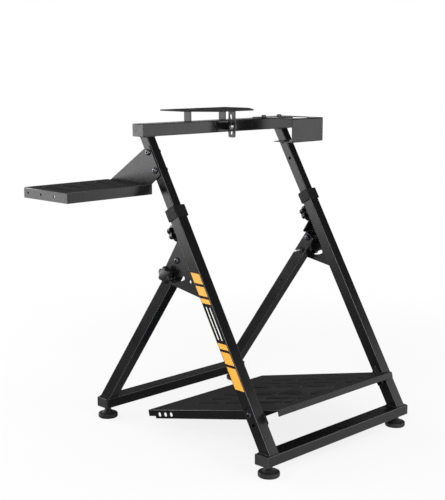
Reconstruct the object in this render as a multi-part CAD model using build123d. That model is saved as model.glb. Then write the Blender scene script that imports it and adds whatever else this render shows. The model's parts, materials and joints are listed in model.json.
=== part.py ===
from build123d import *
import math
import os

# Racing wheel stand: two leaning telescopic legs carry a top cross tube with a
# tilting wheel plate, a shifter tray and a cup holder. A rear strut frame folds
# against the legs about two gusset plates. Millimetres and degrees throughout.
# X runs across the stand, +Y towards the driver, +Z up.

# Frame layout
LEG_X = 235.4
LEG_LEAN = 30.4
FRONT_Y = -384.0
REAR_Y = 182.0
WALL = 1.5
TUBE_CORNER = 2.5

# Base tubes and levelling feet
BASE_TUBE_W = 40.0
BASE_TUBE_H = 25.0
FRONT_TUBE_LENGTH = 516.0
REAR_TUBE_LENGTH = 503.0
FOOT_HEIGHT = 28.0
FOOT_R = 25.0
FOOT_DISC_H = 11.0
FOOT_HUB_R = 15.0
FOOT_HUB_H = 13.0
FOOT_NECK_R = 7.5
FOOT_NECK_H = 21.0
FOOT_STEM_R = 5.0
FOOT_NUT_FLATS = 16.0
FOOT_NUT_H = 5.0
FOOT_EDGE = 2.0
NUT_OVERLAP = 1.0

# Telescopic legs
OUTER_LEG = 30.0
INNER_LEG = 25.0
OUTER_LEG_LENGTH = 594.0
LEG_OVERLAP = 175.0
COLLAR_SIZE = 36.0
COLLAR_H = 29.0
COLLAR_LIP = 7.0
COLLAR_EDGE = 1.5
COLLAR_FIT = 0.2
COLLAR_SLIDE = 0.3
HEIGHT_KNOB_DROP = 45.5

# Top cross tube
TOP_TUBE_W = 40.0
TOP_TUBE_H = 30.0
TOP_TUBE_LENGTH = 522.0
TOP_TUBE_BOTTOM = 732.5
PLUG_CAP = 3.0
PLUG_EDGE = 1.0
PLUG_DEPTH = 12.0
PLUG_FIT = 0.1

# Folding gussets and struts
PIVOT_DROP = 109.0
PIVOT_N = 41.4
GUSSET_T = 3.0
GUSSET_INSET = 1.0
GUSSET_TOP_DROP = 69.0
GUSSET_FOOT_DROP = 213.5
GUSSET_TIP_TOP = (112.0, 118.5)
GUSSET_TIP_FOOT = (100.0, 142.0)
GUSSET_TIP_R = 13.0
GUSSET_LIP_W = 33.0
GUSSET_LIP_L = 40.0
GUSSET_LIP_R = 6.0
STRUT = 30.0
STRUT_GAP = 0.5
STRUT_END = 9.0
STRUT_HOLE_AT = 155.0
STRUT_HOLE_R = 3.5
FOLD_ANGLE = 58.0
CLAMP_R = 44.0
SLOT_MARGIN = 6.0
SPARE_HOLE = (26.0, 169.5)
SPARE_HOLE_R = 4.0

# Bolts and star knobs
BOLT_R = 4.0
RUNNING = 0.08
SLOT_CLEARANCE = 0.6
SEAT_GAP = 0.3
BOLT_HEAD_R = 7.5
BOLT_HEAD_H = 5.0
BOLT_DOME_R = 3.0
NUT_FLATS = 13.0
NUT_H = 6.5
BOLT_TAIL = 3.5
KNOB_R = 20.0
KNOB_H = 15.0
KNOB_CORE_R = 15.0
KNOB_LOBES = 6
KNOB_LOBE_R = 6.0
KNOB_VALLEY_R = 3.0
KNOB_TAIL = 13.5
KNOB_HUB_R = 9.5
KNOB_HUB_H = 8.0
KNOB_EDGE = 1.6

# Pedal plate
PEDAL_SIDE_GAP = 9.6
PEDAL_SLOPE = 13.3
PEDAL_AHEAD_OF_BOLT = 37.9
PEDAL_ABOVE_BOLT = 26.65
PEDAL_LENGTH = 451.0
PEDAL_T = 2.0
PEDAL_BEND = 1.8
PEDAL_FLANGE = 22.0
PEDAL_FRONT_FLANGE = 14.3
PEDAL_TAPER = 75.0
PEDAL_TAPER_START = 2.7
PEDAL_NOTCH = (25.0, 6.0)
PEDAL_END_HOLE_R = 5.5
PEDAL_END_HOLES = 3
PEDAL_END_HOLE_DEPTH = 12.0
PEDAL_END_HOLE_FROM_REAR = 41.0
PEDAL_END_HOLE_PITCH = 21.8
PEDAL_SLOT_W = 8.0
PEDAL_SLOT_L = 82.0
PEDAL_SLOT_PITCH = 95.0
PEDAL_SLOT_FROM_REAR = 100.5
PEDAL_SLOT_COUNT = 3
PEDAL_SHORT_SLOT_L = 29.0
PEDAL_SHORT_SLOT_GAP = 22.0
PEDAL_SLOT_X = (45.0, 90.0, 135.0)
PEDAL_BOLT_S = (67.0, 91.5)
PEDAL_SPARE_S = 107.7
BRACKET_T = 4.0
BRACKET_W = 17.0
BRACKET_END = 9.0
SPACER_R = 7.0

# Shifter tray and its web
TRAY_W = 244.5
TRAY_BEHIND_BOLT = 14.8
TRAY_DEPTH = 164.0
TRAY_BELOW_BOLT = 33.0
TRAY_FLANGE = 24.5
TRAY_T = 2.5
TRAY_BEND = 2.0
TRAY_SLOT_W = 8.0
TRAY_SLOT_L = 110.0
TRAY_SLOT_X = (34.0, 84.0, 134.0, 184.0)
TRAY_END_HOLE_R = 3.0
TRAY_END_HOLES = (16.0, 66.0, 116.0)
WEB_T = 3.0
WEB_OVER_BOLT = 14.0
WEB_UNDER_BOLT = 17.0
WEB_SIDE = 11.0
WEB_REAR_GAP = 13.0
WEB_CORNER = 8.0
TRAY_BOLT_DROP = 41.8
TRAY_BOLT_PITCH = 48.0

# Cup holder
CUP_W = 120.0
CUP_FROM_END = 1.0
CUP_BACK_INSET = 4.0
CUP_REACH = 126.7
CUP_H = 61.0
CUP_T = 2.0
CUP_HOLE_R = 44.0
CUP_HOLE_FROM_FRONT = 51.0
CUP_SHELF = 66.0
CUP_BOLT_PITCH = 60.0
CUP_CORNER = 5.0
CUP_BEND = 3.0
M8_HOLE_R = 4.25

# Wheel plate, its ears and the tilt strap
PLATE_W = 236.0
PLATE_D = 160.0
PLATE_T = 3.0
PLATE_RISE = 26.5
PLATE_AHEAD = 68.7
PLATE_FRONT_W = 119.0
PLATE_SIDE = 87.0
PLATE_CORNER = 10.0
PLATE_SLOT_W = 7.5
PLATE_PIN_R = 3.7
PLATE_CENTRE_R = 6.4
PLATE_CENTRE_FROM_REAR = 19.3
EAR_T = 3.0
EAR_W = 24.0
EAR_X = 61.25
TILT_BEHIND_TUBE = 25.3
STRAP_W = 23.0
STRAP_AHEAD_OF_TUBE = 30.2
STRAP_LENGTH = 65.5
STRAP_SLOT_UP = 16.5
STRAP_SLOT_DOWN = 10.5
TILT_BOLT_R = 3.0
TILT_TAIL = 2.0
TILT_HEAD_R = 5.5
TILT_HEAD_H = 4.0
TILT_WASHER_R = 8.5
TILT_WASHER_T = 1.5
TAB_T = 4.0
TAB_H = 18.0
TAB_END = 11.0
TAB_GAP = 0.5

# Adapter pattern of the wheel plate, left half: X of each opening and its distance
# from the rear edge, then the slot's length. Long slots run front to rear.
LONG_SLOTS = (
    (98.9, 26.4, 41.0),
    (98.9, 74.5, 30.1),
    (67.8, 21.5, 13.0),
    (54.7, 29.5, 13.0),
    (67.8, 49.2, 13.0),
    (67.8, 83.8, 13.0),
    (54.7, 83.8, 13.0),
    (39.5, 37.7, 19.4),
    (39.5, 75.1, 29.6),
    (39.5, 105.0, 13.0),
    (45.4, 119.3, 13.0),
    (34.0, 123.9, 22.0),
)
CROSS_SLOTS = (
    (94.0, 24.3, 17.0),
    (94.0, 71.2, 17.0),
    (36.0, 105.8, 15.0),
    (51.0, 117.5, 16.0),
    (36.5, 133.7, 15.0),
)
PIN_HOLES = ((31.5, 21.8), (67.8, 66.5), (54.4, 64.1))

# Values that follow from the driving dimensions
BASE_TOP = FOOT_HEIGHT + BASE_TUBE_H
BASE_TUBE_Z = FOOT_HEIGHT + BASE_TUBE_H / 2
LEAN = math.radians(LEG_LEAN)
LEG_BACK = OUTER_LEG / 2
TOP_TUBE_TOP = TOP_TUBE_BOTTOM + TOP_TUBE_H
TOP_TUBE_Z = TOP_TUBE_BOTTOM + TOP_TUBE_H / 2
TOP_TUBE_Y = FRONT_Y + (TOP_TUBE_BOTTOM - BASE_TOP) * math.tan(LEAN)
TOP_TUBE_REAR = TOP_TUBE_Y + TOP_TUBE_W / 2
TOP_TUBE_FRONT = TOP_TUBE_Y - TOP_TUBE_W / 2
LEG_TOP_S = (TOP_TUBE_BOTTOM - BASE_TOP) / math.cos(LEAN)
HEIGHT_KNOB_S = OUTER_LEG_LENGTH - HEIGHT_KNOB_DROP
TRAY_BOLT_HIGH_S = LEG_TOP_S - TRAY_BOLT_DROP
TRAY_BOLT_S = (TRAY_BOLT_HIGH_S - TRAY_BOLT_PITCH, TRAY_BOLT_HIGH_S)
GUSSET_OUT = LEG_X + OUTER_LEG / 2 - GUSSET_INSET
GUSSET_IN = GUSSET_OUT - GUSSET_T
STRUT_X = GUSSET_IN - STRUT_GAP - STRUT / 2
STRUT_INSIDE = STRUT_X - STRUT / 2
WEB_OUT = LEG_X + INNER_LEG / 2 + WEB_T
PEDAL_HALF_W = LEG_X - OUTER_LEG / 2 - PEDAL_SIDE_GAP
PLATE_TOP = TOP_TUBE_TOP + PLATE_RISE
PLATE_UNDER = PLATE_TOP - PLATE_T
PLATE_REAR_Y = TOP_TUBE_Y - PLATE_AHEAD + PLATE_D
TILT_Y = TOP_TUBE_REAR + TILT_BEHIND_TUBE
TILT_Z = TOP_TUBE_Z
STRAP_Y = TOP_TUBE_FRONT - STRAP_AHEAD_OF_TUBE
STRAP_END_Z = PLATE_UNDER - STRAP_LENGTH
CUP_X = TOP_TUBE_LENGTH / 2 - CUP_FROM_END - CUP_W / 2
CUP_FRONT_Y = TOP_TUBE_Y - CUP_REACH
CUP_TOP = TOP_TUBE_TOP + CUP_T
SIDES = {"left": -1, "right": 1}


def leg_point(n, s):
    """Y and Z of a point s along a leg's axis and n behind it."""
    y = FRONT_Y + s * math.sin(LEAN) + n * math.cos(LEAN)
    z = BASE_TOP + s * math.cos(LEAN) - n * math.sin(LEAN)
    return y, z


def below_leg_top(n, drop):
    """Y and Z of a point n behind a leg's axis and drop below its outer tube's end."""
    return leg_point(n, OUTER_LEG_LENGTH - drop)


PIVOT_Y, PIVOT_Z = below_leg_top(PIVOT_N, PIVOT_DROP)
STRUT_LEAN = math.atan2(REAR_Y - PIVOT_Y, PIVOT_Z - BASE_TOP)
CLAMP_Y = PIVOT_Y + CLAMP_R * math.sin(STRUT_LEAN)
CLAMP_Z = PIVOT_Z - CLAMP_R * math.cos(STRUT_LEAN)
TRAY_BOLT_Y, TRAY_BOLT_Z = leg_point(0, TRAY_BOLT_S[0])
TRAY_FRONT_Y = TRAY_BOLT_Y + TRAY_BEHIND_BOLT
TRAY_TOP = TRAY_BOLT_Z - TRAY_BELOW_BOLT
PEDAL_BOLT_Y, PEDAL_BOLT_Z = leg_point(0, PEDAL_BOLT_S[0])
SLOPE = math.radians(PEDAL_SLOPE)
PEDAL_FRONT_Y = PEDAL_BOLT_Y - PEDAL_AHEAD_OF_BOLT
PEDAL_FRONT_TOP = PEDAL_BOLT_Z + PEDAL_ABOVE_BOLT + PEDAL_AHEAD_OF_BOLT * math.tan(SLOPE)


def leg_plane(side):
    """Work plane at a leg's foot: local Z runs up the leg, local Y behind it."""
    return Plane(
        origin=(side * LEG_X, FRONT_Y, BASE_TOP),
        x_dir=(1, 0, 0),
        z_dir=(0, math.sin(LEAN), math.cos(LEAN)),
    )


def strut_plane(side):
    """Work plane at a strut's pivot: local Z runs down the strut."""
    return Plane(
        origin=(side * STRUT_X, PIVOT_Y, PIVOT_Z),
        x_dir=(1, 0, 0),
        z_dir=(0, math.sin(STRUT_LEAN), -math.cos(STRUT_LEAN)),
    )


def square_tube(width, depth, start, end):
    """Round-cornered tube along Z, from start to end."""
    profile = RectangleRounded(width, depth, TUBE_CORNER)
    profile -= RectangleRounded(width - 2 * WALL, depth - 2 * WALL, TUBE_CORNER - WALL)
    return Pos(0, 0, start) * extrude(profile, end - start)


def cross_tube(depth, height, length, y, z):
    """Tube across the stand, centred on y and z."""
    tube = square_tube(height, depth, -length / 2, length / 2)
    return Pos(0, y, z) * Rot(0, 90, 0) * tube


def end_plug(side, depth, height, length, y, z):
    """Moulded cap that closes one end of a cross tube."""
    cap = extrude(RectangleRounded(height, depth, TUBE_CORNER), PLUG_CAP)
    cap = chamfer(cap.faces().sort_by(Axis.Z)[-1].edges(), PLUG_EDGE)
    inset = 2 * (WALL + PLUG_FIT)
    body = RectangleRounded(height - inset, depth - inset, TUBE_CORNER - WALL)
    plug = cap + extrude(body, -PLUG_DEPTH)
    return Pos(side * length / 2, y, z) * Rot(0, side * 90, 0) * plug


def cross_pin(radius, start, end, y, z):
    """Round bar along X between start and end."""
    low = min(start, end)
    bar = extrude(Circle(radius), abs(end - start))
    return Pos(low, y, z) * Rot(0, 90, 0) * bar


def hex_nut(flats, height, bore):
    """Hexagonal nut on the XY plane, with its bore along Z."""
    return extrude(RegularPolygon(flats / math.sqrt(3), 6) - Circle(bore), height)


def yz_plate(outline, start, end):
    """Flat plate between two X values, from an outline drawn in Y and Z."""
    low = min(start, end)
    return extrude(Plane.YZ.offset(low) * outline, abs(end - start))


def foot(side, y):
    """Levelling foot: a rubber disc with a conical hub, a lock nut and a stem."""
    half = make_face(
        Polyline(
            (0, 0),
            (FOOT_R - FOOT_EDGE, 0),
            (FOOT_R, FOOT_EDGE),
            (FOOT_R, FOOT_DISC_H - FOOT_EDGE),
            (FOOT_R - FOOT_EDGE, FOOT_DISC_H),
            (FOOT_HUB_R, FOOT_HUB_H),
            (FOOT_NECK_R, FOOT_NECK_H),
            (FOOT_STEM_R, FOOT_NECK_H),
            (FOOT_STEM_R, FOOT_HEIGHT),
            (0, FOOT_HEIGHT),
            close=True,
        )
    )
    body = revolve(Plane.XZ * half, Axis.Z)
    nut = hex_nut(FOOT_NUT_FLATS, FOOT_NUT_H, FOOT_STEM_R - NUT_OVERLAP)
    body += Pos(0, 0, FOOT_HEIGHT - FOOT_NUT_H) * nut
    return Pos(side * LEG_X, y, 0) * body


def outer_leg(side):
    """Leaning outer leg, cut level on the base tube, with its pedal and knob holes."""
    reach = OUTER_LEG * math.tan(LEAN)
    leg = leg_plane(side) * square_tube(OUTER_LEG, OUTER_LEG, -reach, OUTER_LEG_LENGTH)
    leg = split(leg, bisect_by=Plane.XY.offset(BASE_TOP), keep=Keep.TOP)
    for s in PEDAL_BOLT_S + (PEDAL_SPARE_S,):
        y, z = leg_point(0, s)
        half = OUTER_LEG
        leg -= cross_pin(M8_HOLE_R, side * LEG_X - half, side * LEG_X + half, y, z)
    bore = Pos(0, LEG_BACK - 2 * WALL, HEIGHT_KNOB_S) * Rot(-90, 0, 0) * Cylinder(
        BOLT_R + RUNNING, 4 * WALL, align=(Align.CENTER, Align.CENTER, Align.MIN)
    )
    return leg - leg_plane(side) * bore


def inner_leg(side):
    """Sliding inner leg, cut level under the top tube, with the two tray bolt holes."""
    start = OUTER_LEG_LENGTH - LEG_OVERLAP
    end = (TOP_TUBE_TOP - BASE_TOP) / math.cos(LEAN)
    leg = leg_plane(side) * square_tube(INNER_LEG, INNER_LEG, start, end)
    leg = split(leg, bisect_by=Plane.XY.offset(TOP_TUBE_BOTTOM), keep=Keep.BOTTOM)
    for s in TRAY_BOLT_S:
        y, z = leg_point(0, s)
        leg -= cross_pin(M8_HOLE_R, side * LEG_X - INNER_LEG, side * LEG_X + INNER_LEG, y, z)
    return leg


def collar(side):
    """Moulded guide collar over the top end of an outer leg."""
    top = OUTER_LEG_LENGTH + COLLAR_LIP
    block = extrude(RectangleRounded(COLLAR_SIZE, COLLAR_SIZE, TUBE_CORNER), COLLAR_H)
    block = chamfer(block.faces().sort_by(Axis.Z)[-1].edges(), COLLAR_EDGE)
    pocket = OUTER_LEG + 2 * COLLAR_FIT
    block -= extrude(RectangleRounded(pocket, pocket, TUBE_CORNER), COLLAR_H - COLLAR_LIP)
    mouth = INNER_LEG + 2 * COLLAR_SLIDE
    block -= extrude(RectangleRounded(mouth, mouth, TUBE_CORNER), COLLAR_H)
    return leg_plane(side) * (Pos(0, 0, top - COLLAR_H) * block)


def gusset_lip(side):
    """Stiffening lip bent inwards along a gusset's upper edge, from the leg's back."""
    tip_n, tip_drop = GUSSET_TIP_TOP
    fall = math.atan2(tip_drop - GUSSET_TOP_DROP, tip_n - LEG_BACK)
    end_n = LEG_BACK + GUSSET_LIP_L * math.cos(fall)
    end_drop = GUSSET_TOP_DROP + GUSSET_LIP_L * math.sin(fall)
    corners = [
        below_leg_top(LEG_BACK, GUSSET_TOP_DROP),
        below_leg_top(end_n, end_drop),
        below_leg_top(end_n - GUSSET_T * math.sin(fall), end_drop + GUSSET_T * math.cos(fall)),
        below_leg_top(LEG_BACK, GUSSET_TOP_DROP + GUSSET_T / math.cos(fall)),
    ]
    outline = make_face(Polyline(*corners, close=True))
    lip = yz_plate(outline, side * (GUSSET_OUT - GUSSET_LIP_W), side * GUSSET_OUT)
    inner_face = lip.faces().sort_by(Axis.X)[0 if side > 0 else -1]
    return fillet(inner_face.edges().sort_by(Axis.Y)[-1], GUSSET_LIP_R)


def gusset(side):
    """Triangular hinge plate with the pivot hole, the fold slot, a spare hole and a lip."""
    corners = [
        below_leg_top(LEG_BACK, GUSSET_TOP_DROP),
        below_leg_top(*GUSSET_TIP_TOP),
        below_leg_top(*GUSSET_TIP_FOOT),
        below_leg_top(LEG_BACK, GUSSET_FOOT_DROP),
    ]
    outline = make_face(Polyline(*corners, close=True))
    tip = outline.vertices().sort_by(Axis.X)[-2:]
    outline = fillet(tip, GUSSET_TIP_R)
    outline -= Pos(PIVOT_Y, PIVOT_Z) * Circle(BOLT_R + RUNNING)
    spare_y, spare_z = below_leg_top(*SPARE_HOLE)
    outline -= Pos(spare_y, spare_z) * Circle(SPARE_HOLE_R)
    start = math.degrees(STRUT_LEAN) - 90 + SLOT_MARGIN
    sweep = FOLD_ANGLE + 2 * SLOT_MARGIN
    arc = CenterArc((PIVOT_Y, PIVOT_Z), CLAMP_R, start - sweep, sweep)
    outline -= SlotArc(arc, 2 * (BOLT_R + SLOT_CLEARANCE))
    return yz_plate(outline, side * GUSSET_IN, side * GUSSET_OUT) + gusset_lip(side)


def strut(side):
    """Folding strut down to the rear base tube, with the clamp nut welded inside."""
    length = (PIVOT_Z - BASE_TOP) / math.cos(STRUT_LEAN)
    reach = STRUT * math.tan(STRUT_LEAN)
    bar = strut_plane(side) * square_tube(STRUT, STRUT, -STRUT_END, length + reach)
    bar = split(bar, bisect_by=Plane.XY.offset(BASE_TOP), keep=Keep.TOP)
    middle = side * STRUT_X
    for y, z in ((PIVOT_Y, PIVOT_Z), (CLAMP_Y, CLAMP_Z)):
        bar -= cross_pin(BOLT_R + RUNNING, middle - STRUT, middle + STRUT, y, z)
    hole_y = PIVOT_Y + STRUT_HOLE_AT * math.sin(STRUT_LEAN)
    hole_z = PIVOT_Z - STRUT_HOLE_AT * math.cos(STRUT_LEAN)
    bar -= cross_pin(STRUT_HOLE_R, middle, middle - side * STRUT, hole_y, hole_z)
    nut = Pos(side * STRUT_INSIDE, CLAMP_Y, CLAMP_Z) * Rot(0, -side * 90, 0)
    return bar + nut * hex_nut(NUT_FLATS, NUT_H, BOLT_R + RUNNING)


def pivot_bolt(side):
    """Fold pivot: a domed bolt through the gusset and the strut, with its nut."""
    outer = GUSSET_OUT
    inner = STRUT_INSIDE - SEAT_GAP
    tail = inner - NUT_H - BOLT_TAIL
    bolt = cross_pin(BOLT_R, side * tail, side * outer, PIVOT_Y, PIVOT_Z)
    head = cross_pin(BOLT_HEAD_R, side * outer, side * (outer + BOLT_HEAD_H), PIVOT_Y, PIVOT_Z)
    face = head.faces().sort_by(Axis.X)[-1 if side > 0 else 0]
    head = fillet(face.edges(), BOLT_DOME_R)
    nut = Pos(side * inner, PIVOT_Y, PIVOT_Z) * Rot(0, -side * 90, 0)
    return bolt + head + nut * hex_nut(NUT_FLATS, NUT_H, BOLT_R - NUT_OVERLAP)


def star_knob(shank):
    """Lobed clamping knob on the XY plane, with a shank that runs down from its hub."""
    lobe_at = KNOB_R - KNOB_LOBE_R
    star = Circle(KNOB_CORE_R) + PolarLocations(lobe_at, KNOB_LOBES) * Circle(KNOB_LOBE_R)
    star = fillet(star.vertices(), KNOB_VALLEY_R)
    head = extrude(star, KNOB_H)
    head = chamfer(head.faces().sort_by(Axis.Z)[-1].edges(), KNOB_EDGE)
    hub = extrude(Circle(KNOB_HUB_R), KNOB_HUB_H)
    return hub + Pos(0, 0, KNOB_HUB_H) * head + extrude(Circle(BOLT_R), -shank)


def angle_knob(side):
    """Fold-angle knob: its bolt runs through the gusset slot and the strut."""
    seat = GUSSET_OUT + SEAT_GAP
    knob = star_knob(seat - STRUT_INSIDE + NUT_H + KNOB_TAIL)
    return Pos(side * seat, CLAMP_Y, CLAMP_Z) * Rot(0, side * 90, 0) * knob


def height_knob(side):
    """Height knob behind an outer leg: its shank bears on the inner leg."""
    seat = LEG_BACK + SEAT_GAP
    knob = star_knob(seat - INNER_LEG / 2 - SEAT_GAP)
    return leg_plane(side) * (Pos(0, seat, HEIGHT_KNOB_S) * Rot(-90, 0, 0) * knob)


def pedal_plane():
    """Work plane on top of the pedal plate's front edge: local Y runs down to the rear."""
    return Plane(
        origin=(0, PEDAL_FRONT_Y, PEDAL_FRONT_TOP),
        x_dir=(1, 0, 0),
        z_dir=(0, math.sin(SLOPE), math.cos(SLOPE)),
    )


def pedal_plate():
    """Sloping pedal deck: bent down at the front and both tapered sides, with rows of slots."""
    length = PEDAL_LENGTH
    deck = Rectangle(2 * PEDAL_HALF_W, length, align=(Align.CENTER, Align.MIN))
    long_slot = SlotOverall(PEDAL_SLOT_L, PEDAL_SLOT_W, rotation=90)
    short_slot = SlotOverall(PEDAL_SHORT_SLOT_L, PEDAL_SLOT_W, rotation=90)
    first = length - PEDAL_SLOT_FROM_REAR - PEDAL_SLOT_L / 2
    last = first - (PEDAL_SLOT_COUNT - 1) * PEDAL_SLOT_PITCH
    short = last - (PEDAL_SLOT_L + PEDAL_SHORT_SLOT_L) / 2 - PEDAL_SHORT_SLOT_GAP
    for x in PEDAL_SLOT_X:
        for side in SIDES.values():
            for row in range(PEDAL_SLOT_COUNT):
                deck -= Pos(side * x, first - row * PEDAL_SLOT_PITCH) * long_slot
            deck -= Pos(side * x, short) * short_slot
    plate = extrude(deck, -PEDAL_T)
    notch, drop = PEDAL_NOTCH
    side_profile = make_face(
        Polyline(
            (0, 0),
            (length, 0),
            (length, -PEDAL_FLANGE + drop),
            (length - notch, -PEDAL_FLANGE + drop),
            (length - notch, -PEDAL_FLANGE),
            (PEDAL_TAPER, -PEDAL_FLANGE),
            (0, -PEDAL_TAPER_START),
            close=True,
        )
    )
    for hole in range(PEDAL_END_HOLES):
        at = length - PEDAL_END_HOLE_FROM_REAR - hole * PEDAL_END_HOLE_PITCH
        side_profile -= Pos(at, -PEDAL_END_HOLE_DEPTH) * Circle(PEDAL_END_HOLE_R)
    for side in SIDES.values():
        plate += yz_plate(side_profile, side * (PEDAL_HALF_W - PEDAL_T), side * PEDAL_HALF_W)
    front = Pos(0, 0, -PEDAL_FRONT_FLANGE / 2) * Box(
        2 * PEDAL_HALF_W, PEDAL_T, PEDAL_FRONT_FLANGE,
        align=(Align.CENTER, Align.MIN, Align.CENTER),
    )
    plate += front
    rim = plate.faces().sort_by(Axis.Z)[-1].outer_wire().edges()
    bends = rim.sort_by(Axis.Y)[:-1]
    return pedal_plane() * fillet(bends, PEDAL_BEND)


def pedal_bracket(side):
    """Ear on the pedal plate's side, with the two spacers that meet the leg."""
    inner = PEDAL_HALF_W
    outer = PEDAL_HALF_W + BRACKET_T
    low, high = PEDAL_BOLT_S
    half = BRACKET_W / 2
    corners = [
        leg_point(-half, low - BRACKET_END),
        leg_point(half, low - BRACKET_END),
        leg_point(half, high + BRACKET_END),
        leg_point(-half, high + BRACKET_END),
    ]
    outline = make_face(Polyline(*corners, close=True))
    outline = fillet(outline.vertices(), half / 2)
    ear = yz_plate(outline, side * inner, side * outer)
    for s in PEDAL_BOLT_S:
        y, z = leg_point(0, s)
        ear += cross_pin(SPACER_R, side * outer, side * (LEG_X - OUTER_LEG / 2), y, z)
    for s in PEDAL_BOLT_S:
        y, z = leg_point(0, s)
        ear -= cross_pin(M8_HOLE_R, side * inner, side * LEG_X, y, z)
    return ear


def shifter_tray():
    """Shifter tray: a slotted deck with its edges bent down all round."""
    tray = Box(TRAY_W, TRAY_DEPTH, TRAY_FLANGE, align=(Align.MAX, Align.MIN, Align.MAX))
    tray = fillet(tray.faces().sort_by(Axis.Z)[-1].edges(), TRAY_BEND)
    inside = Pos(-TRAY_T, TRAY_T, -TRAY_T) * Box(
        TRAY_W - 2 * TRAY_T, TRAY_DEPTH - 2 * TRAY_T, TRAY_FLANGE,
        align=(Align.MAX, Align.MIN, Align.MAX),
    )
    tray -= inside
    for x in TRAY_SLOT_X:
        slot = extrude(SlotOverall(TRAY_SLOT_L, TRAY_SLOT_W, rotation=90), -TRAY_T)
        tray -= Pos(-TRAY_W + x, TRAY_DEPTH / 2, 0) * slot
    for y in TRAY_END_HOLES:
        at = TRAY_DEPTH - y
        tray -= cross_pin(TRAY_END_HOLE_R, -TRAY_W, -TRAY_W + 2 * TRAY_T, at, -TRAY_FLANGE / 2)
    return Pos(-WEB_OUT, TRAY_FRONT_Y, TRAY_TOP) * tray


def shifter_web():
    """Upright web that bolts to the left inner leg and carries the tray's inner edge."""
    rear_y = TRAY_FRONT_Y + TRAY_DEPTH - WEB_REAR_GAP
    tray_foot = TRAY_TOP - TRAY_FLANGE
    foot_s = TRAY_BOLT_S[0] - WEB_UNDER_BOLT
    top_s = TRAY_BOLT_S[1] + WEB_OVER_BOLT
    corners = [
        leg_point(-WEB_SIDE, top_s),
        leg_point(WEB_SIDE, top_s),
        (rear_y, TRAY_TOP),
        (rear_y, tray_foot),
        (TRAY_FRONT_Y, tray_foot),
        (TRAY_FRONT_Y, TRAY_TOP),
        leg_point(-WEB_SIDE, foot_s),
    ]
    outline = make_face(Polyline(*corners, close=True))
    top = outline.vertices().sort_by(Axis.Y)[-2:]
    outline = fillet(top, WEB_CORNER)
    for s in TRAY_BOLT_S:
        y, z = leg_point(0, s)
        outline -= Pos(y, z) * Circle(M8_HOLE_R)
    return yz_plate(outline, -WEB_OUT, -WEB_OUT + WEB_T)


def cup_holder():
    """Cup holder: one strip bent into a C, with the cup hole in its top leaf."""
    back_y = TOP_TUBE_REAR - CUP_BACK_INSET
    top = CUP_TOP
    run = make_face(
        Polyline(
            (back_y, top),
            (CUP_FRONT_Y, top),
            (CUP_FRONT_Y, top - CUP_H),
            (CUP_FRONT_Y + CUP_SHELF, top - CUP_H),
            (CUP_FRONT_Y + CUP_SHELF, top - CUP_H + CUP_T),
            (CUP_FRONT_Y + CUP_T, top - CUP_H + CUP_T),
            (CUP_FRONT_Y + CUP_T, top - CUP_T),
            (back_y, top - CUP_T),
            close=True,
        )
    )
    strip = yz_plate(run, CUP_X - CUP_W / 2, CUP_X + CUP_W / 2)
    bends = strip.edges().filter_by(Axis.X).group_by(Axis.Y)[0]
    strip = fillet(bends, CUP_BEND)
    corners = strip.edges().filter_by(Axis.Z)
    back = corners.group_by(Axis.Y)[-1]
    shelf = corners.filter_by_position(Axis.Y, CUP_FRONT_Y + CUP_SHELF, CUP_FRONT_Y + CUP_SHELF)
    strip = fillet(back + shelf, CUP_CORNER)
    cup_y = CUP_FRONT_Y + CUP_HOLE_FROM_FRONT
    strip -= Pos(CUP_X, cup_y, top - CUP_T) * Cylinder(CUP_HOLE_R, 2 * CUP_T)
    for way in (-1, 1):
        at = Pos(CUP_X + way * CUP_BOLT_PITCH / 2, TOP_TUBE_Y, top)
        strip -= at * Cylinder(M8_HOLE_R, 4 * CUP_T)
    return strip


def adapter_holes(side):
    """One half of the wheel plate's adapter pattern, drawn from the middle of its rear edge."""
    holes = Sketch()
    for slots, turn in ((LONG_SLOTS, 90), (CROSS_SLOTS, 0)):
        for x, depth, length in slots:
            holes += Pos(side * x, -depth) * SlotOverall(length, PLATE_SLOT_W, rotation=turn)
    for x, depth in PIN_HOLES:
        holes += Pos(side * x, -depth) * Circle(PLATE_PIN_R)
    return holes


def wheel_plate():
    """Wheel plate: narrowed towards the front, with the adapter holes of both halves."""
    outline = make_face(
        Polyline(
            (-PLATE_W / 2, 0),
            (PLATE_W / 2, 0),
            (PLATE_W / 2, -PLATE_SIDE),
            (PLATE_FRONT_W / 2, -PLATE_D),
            (-PLATE_FRONT_W / 2, -PLATE_D),
            (-PLATE_W / 2, -PLATE_SIDE),
            close=True,
        )
    )
    outline = fillet(outline.vertices(), PLATE_CORNER)
    for side in SIDES.values():
        outline -= adapter_holes(side)
    outline -= Pos(0, -PLATE_CENTRE_FROM_REAR) * Circle(PLATE_CENTRE_R)
    return Pos(0, PLATE_REAR_Y, PLATE_TOP) * extrude(outline, -PLATE_T)


def plate_ear(side):
    """Ear under the wheel plate that turns on the tilt pivot."""
    half = EAR_W / 2
    outline = Pos(TILT_Y, (PLATE_UNDER + TILT_Z) / 2) * Rectangle(EAR_W, PLATE_UNDER - TILT_Z)
    outline += Pos(TILT_Y, TILT_Z) * Circle(half)
    outline -= Pos(TILT_Y, TILT_Z) * Circle(TILT_BOLT_R + RUNNING)
    return yz_plate(outline, side * (EAR_X - EAR_T / 2), side * (EAR_X + EAR_T / 2))


def hinge_tab(side):
    """Tab on the top tube's rear face that holds the tilt pivot."""
    outer = EAR_X - EAR_T / 2 - TAB_GAP
    reach = TILT_Y + TAB_END - TOP_TUBE_REAR
    outline = Pos(TOP_TUBE_REAR + reach / 2, TILT_Z) * Rectangle(reach, TAB_H)
    outline = fillet(outline.vertices().sort_by(Axis.X)[-2:], TAB_END / 2)
    outline -= Pos(TILT_Y, TILT_Z) * Circle(TILT_BOLT_R + RUNNING)
    return yz_plate(outline, side * (outer - TAB_T), side * outer)


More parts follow.
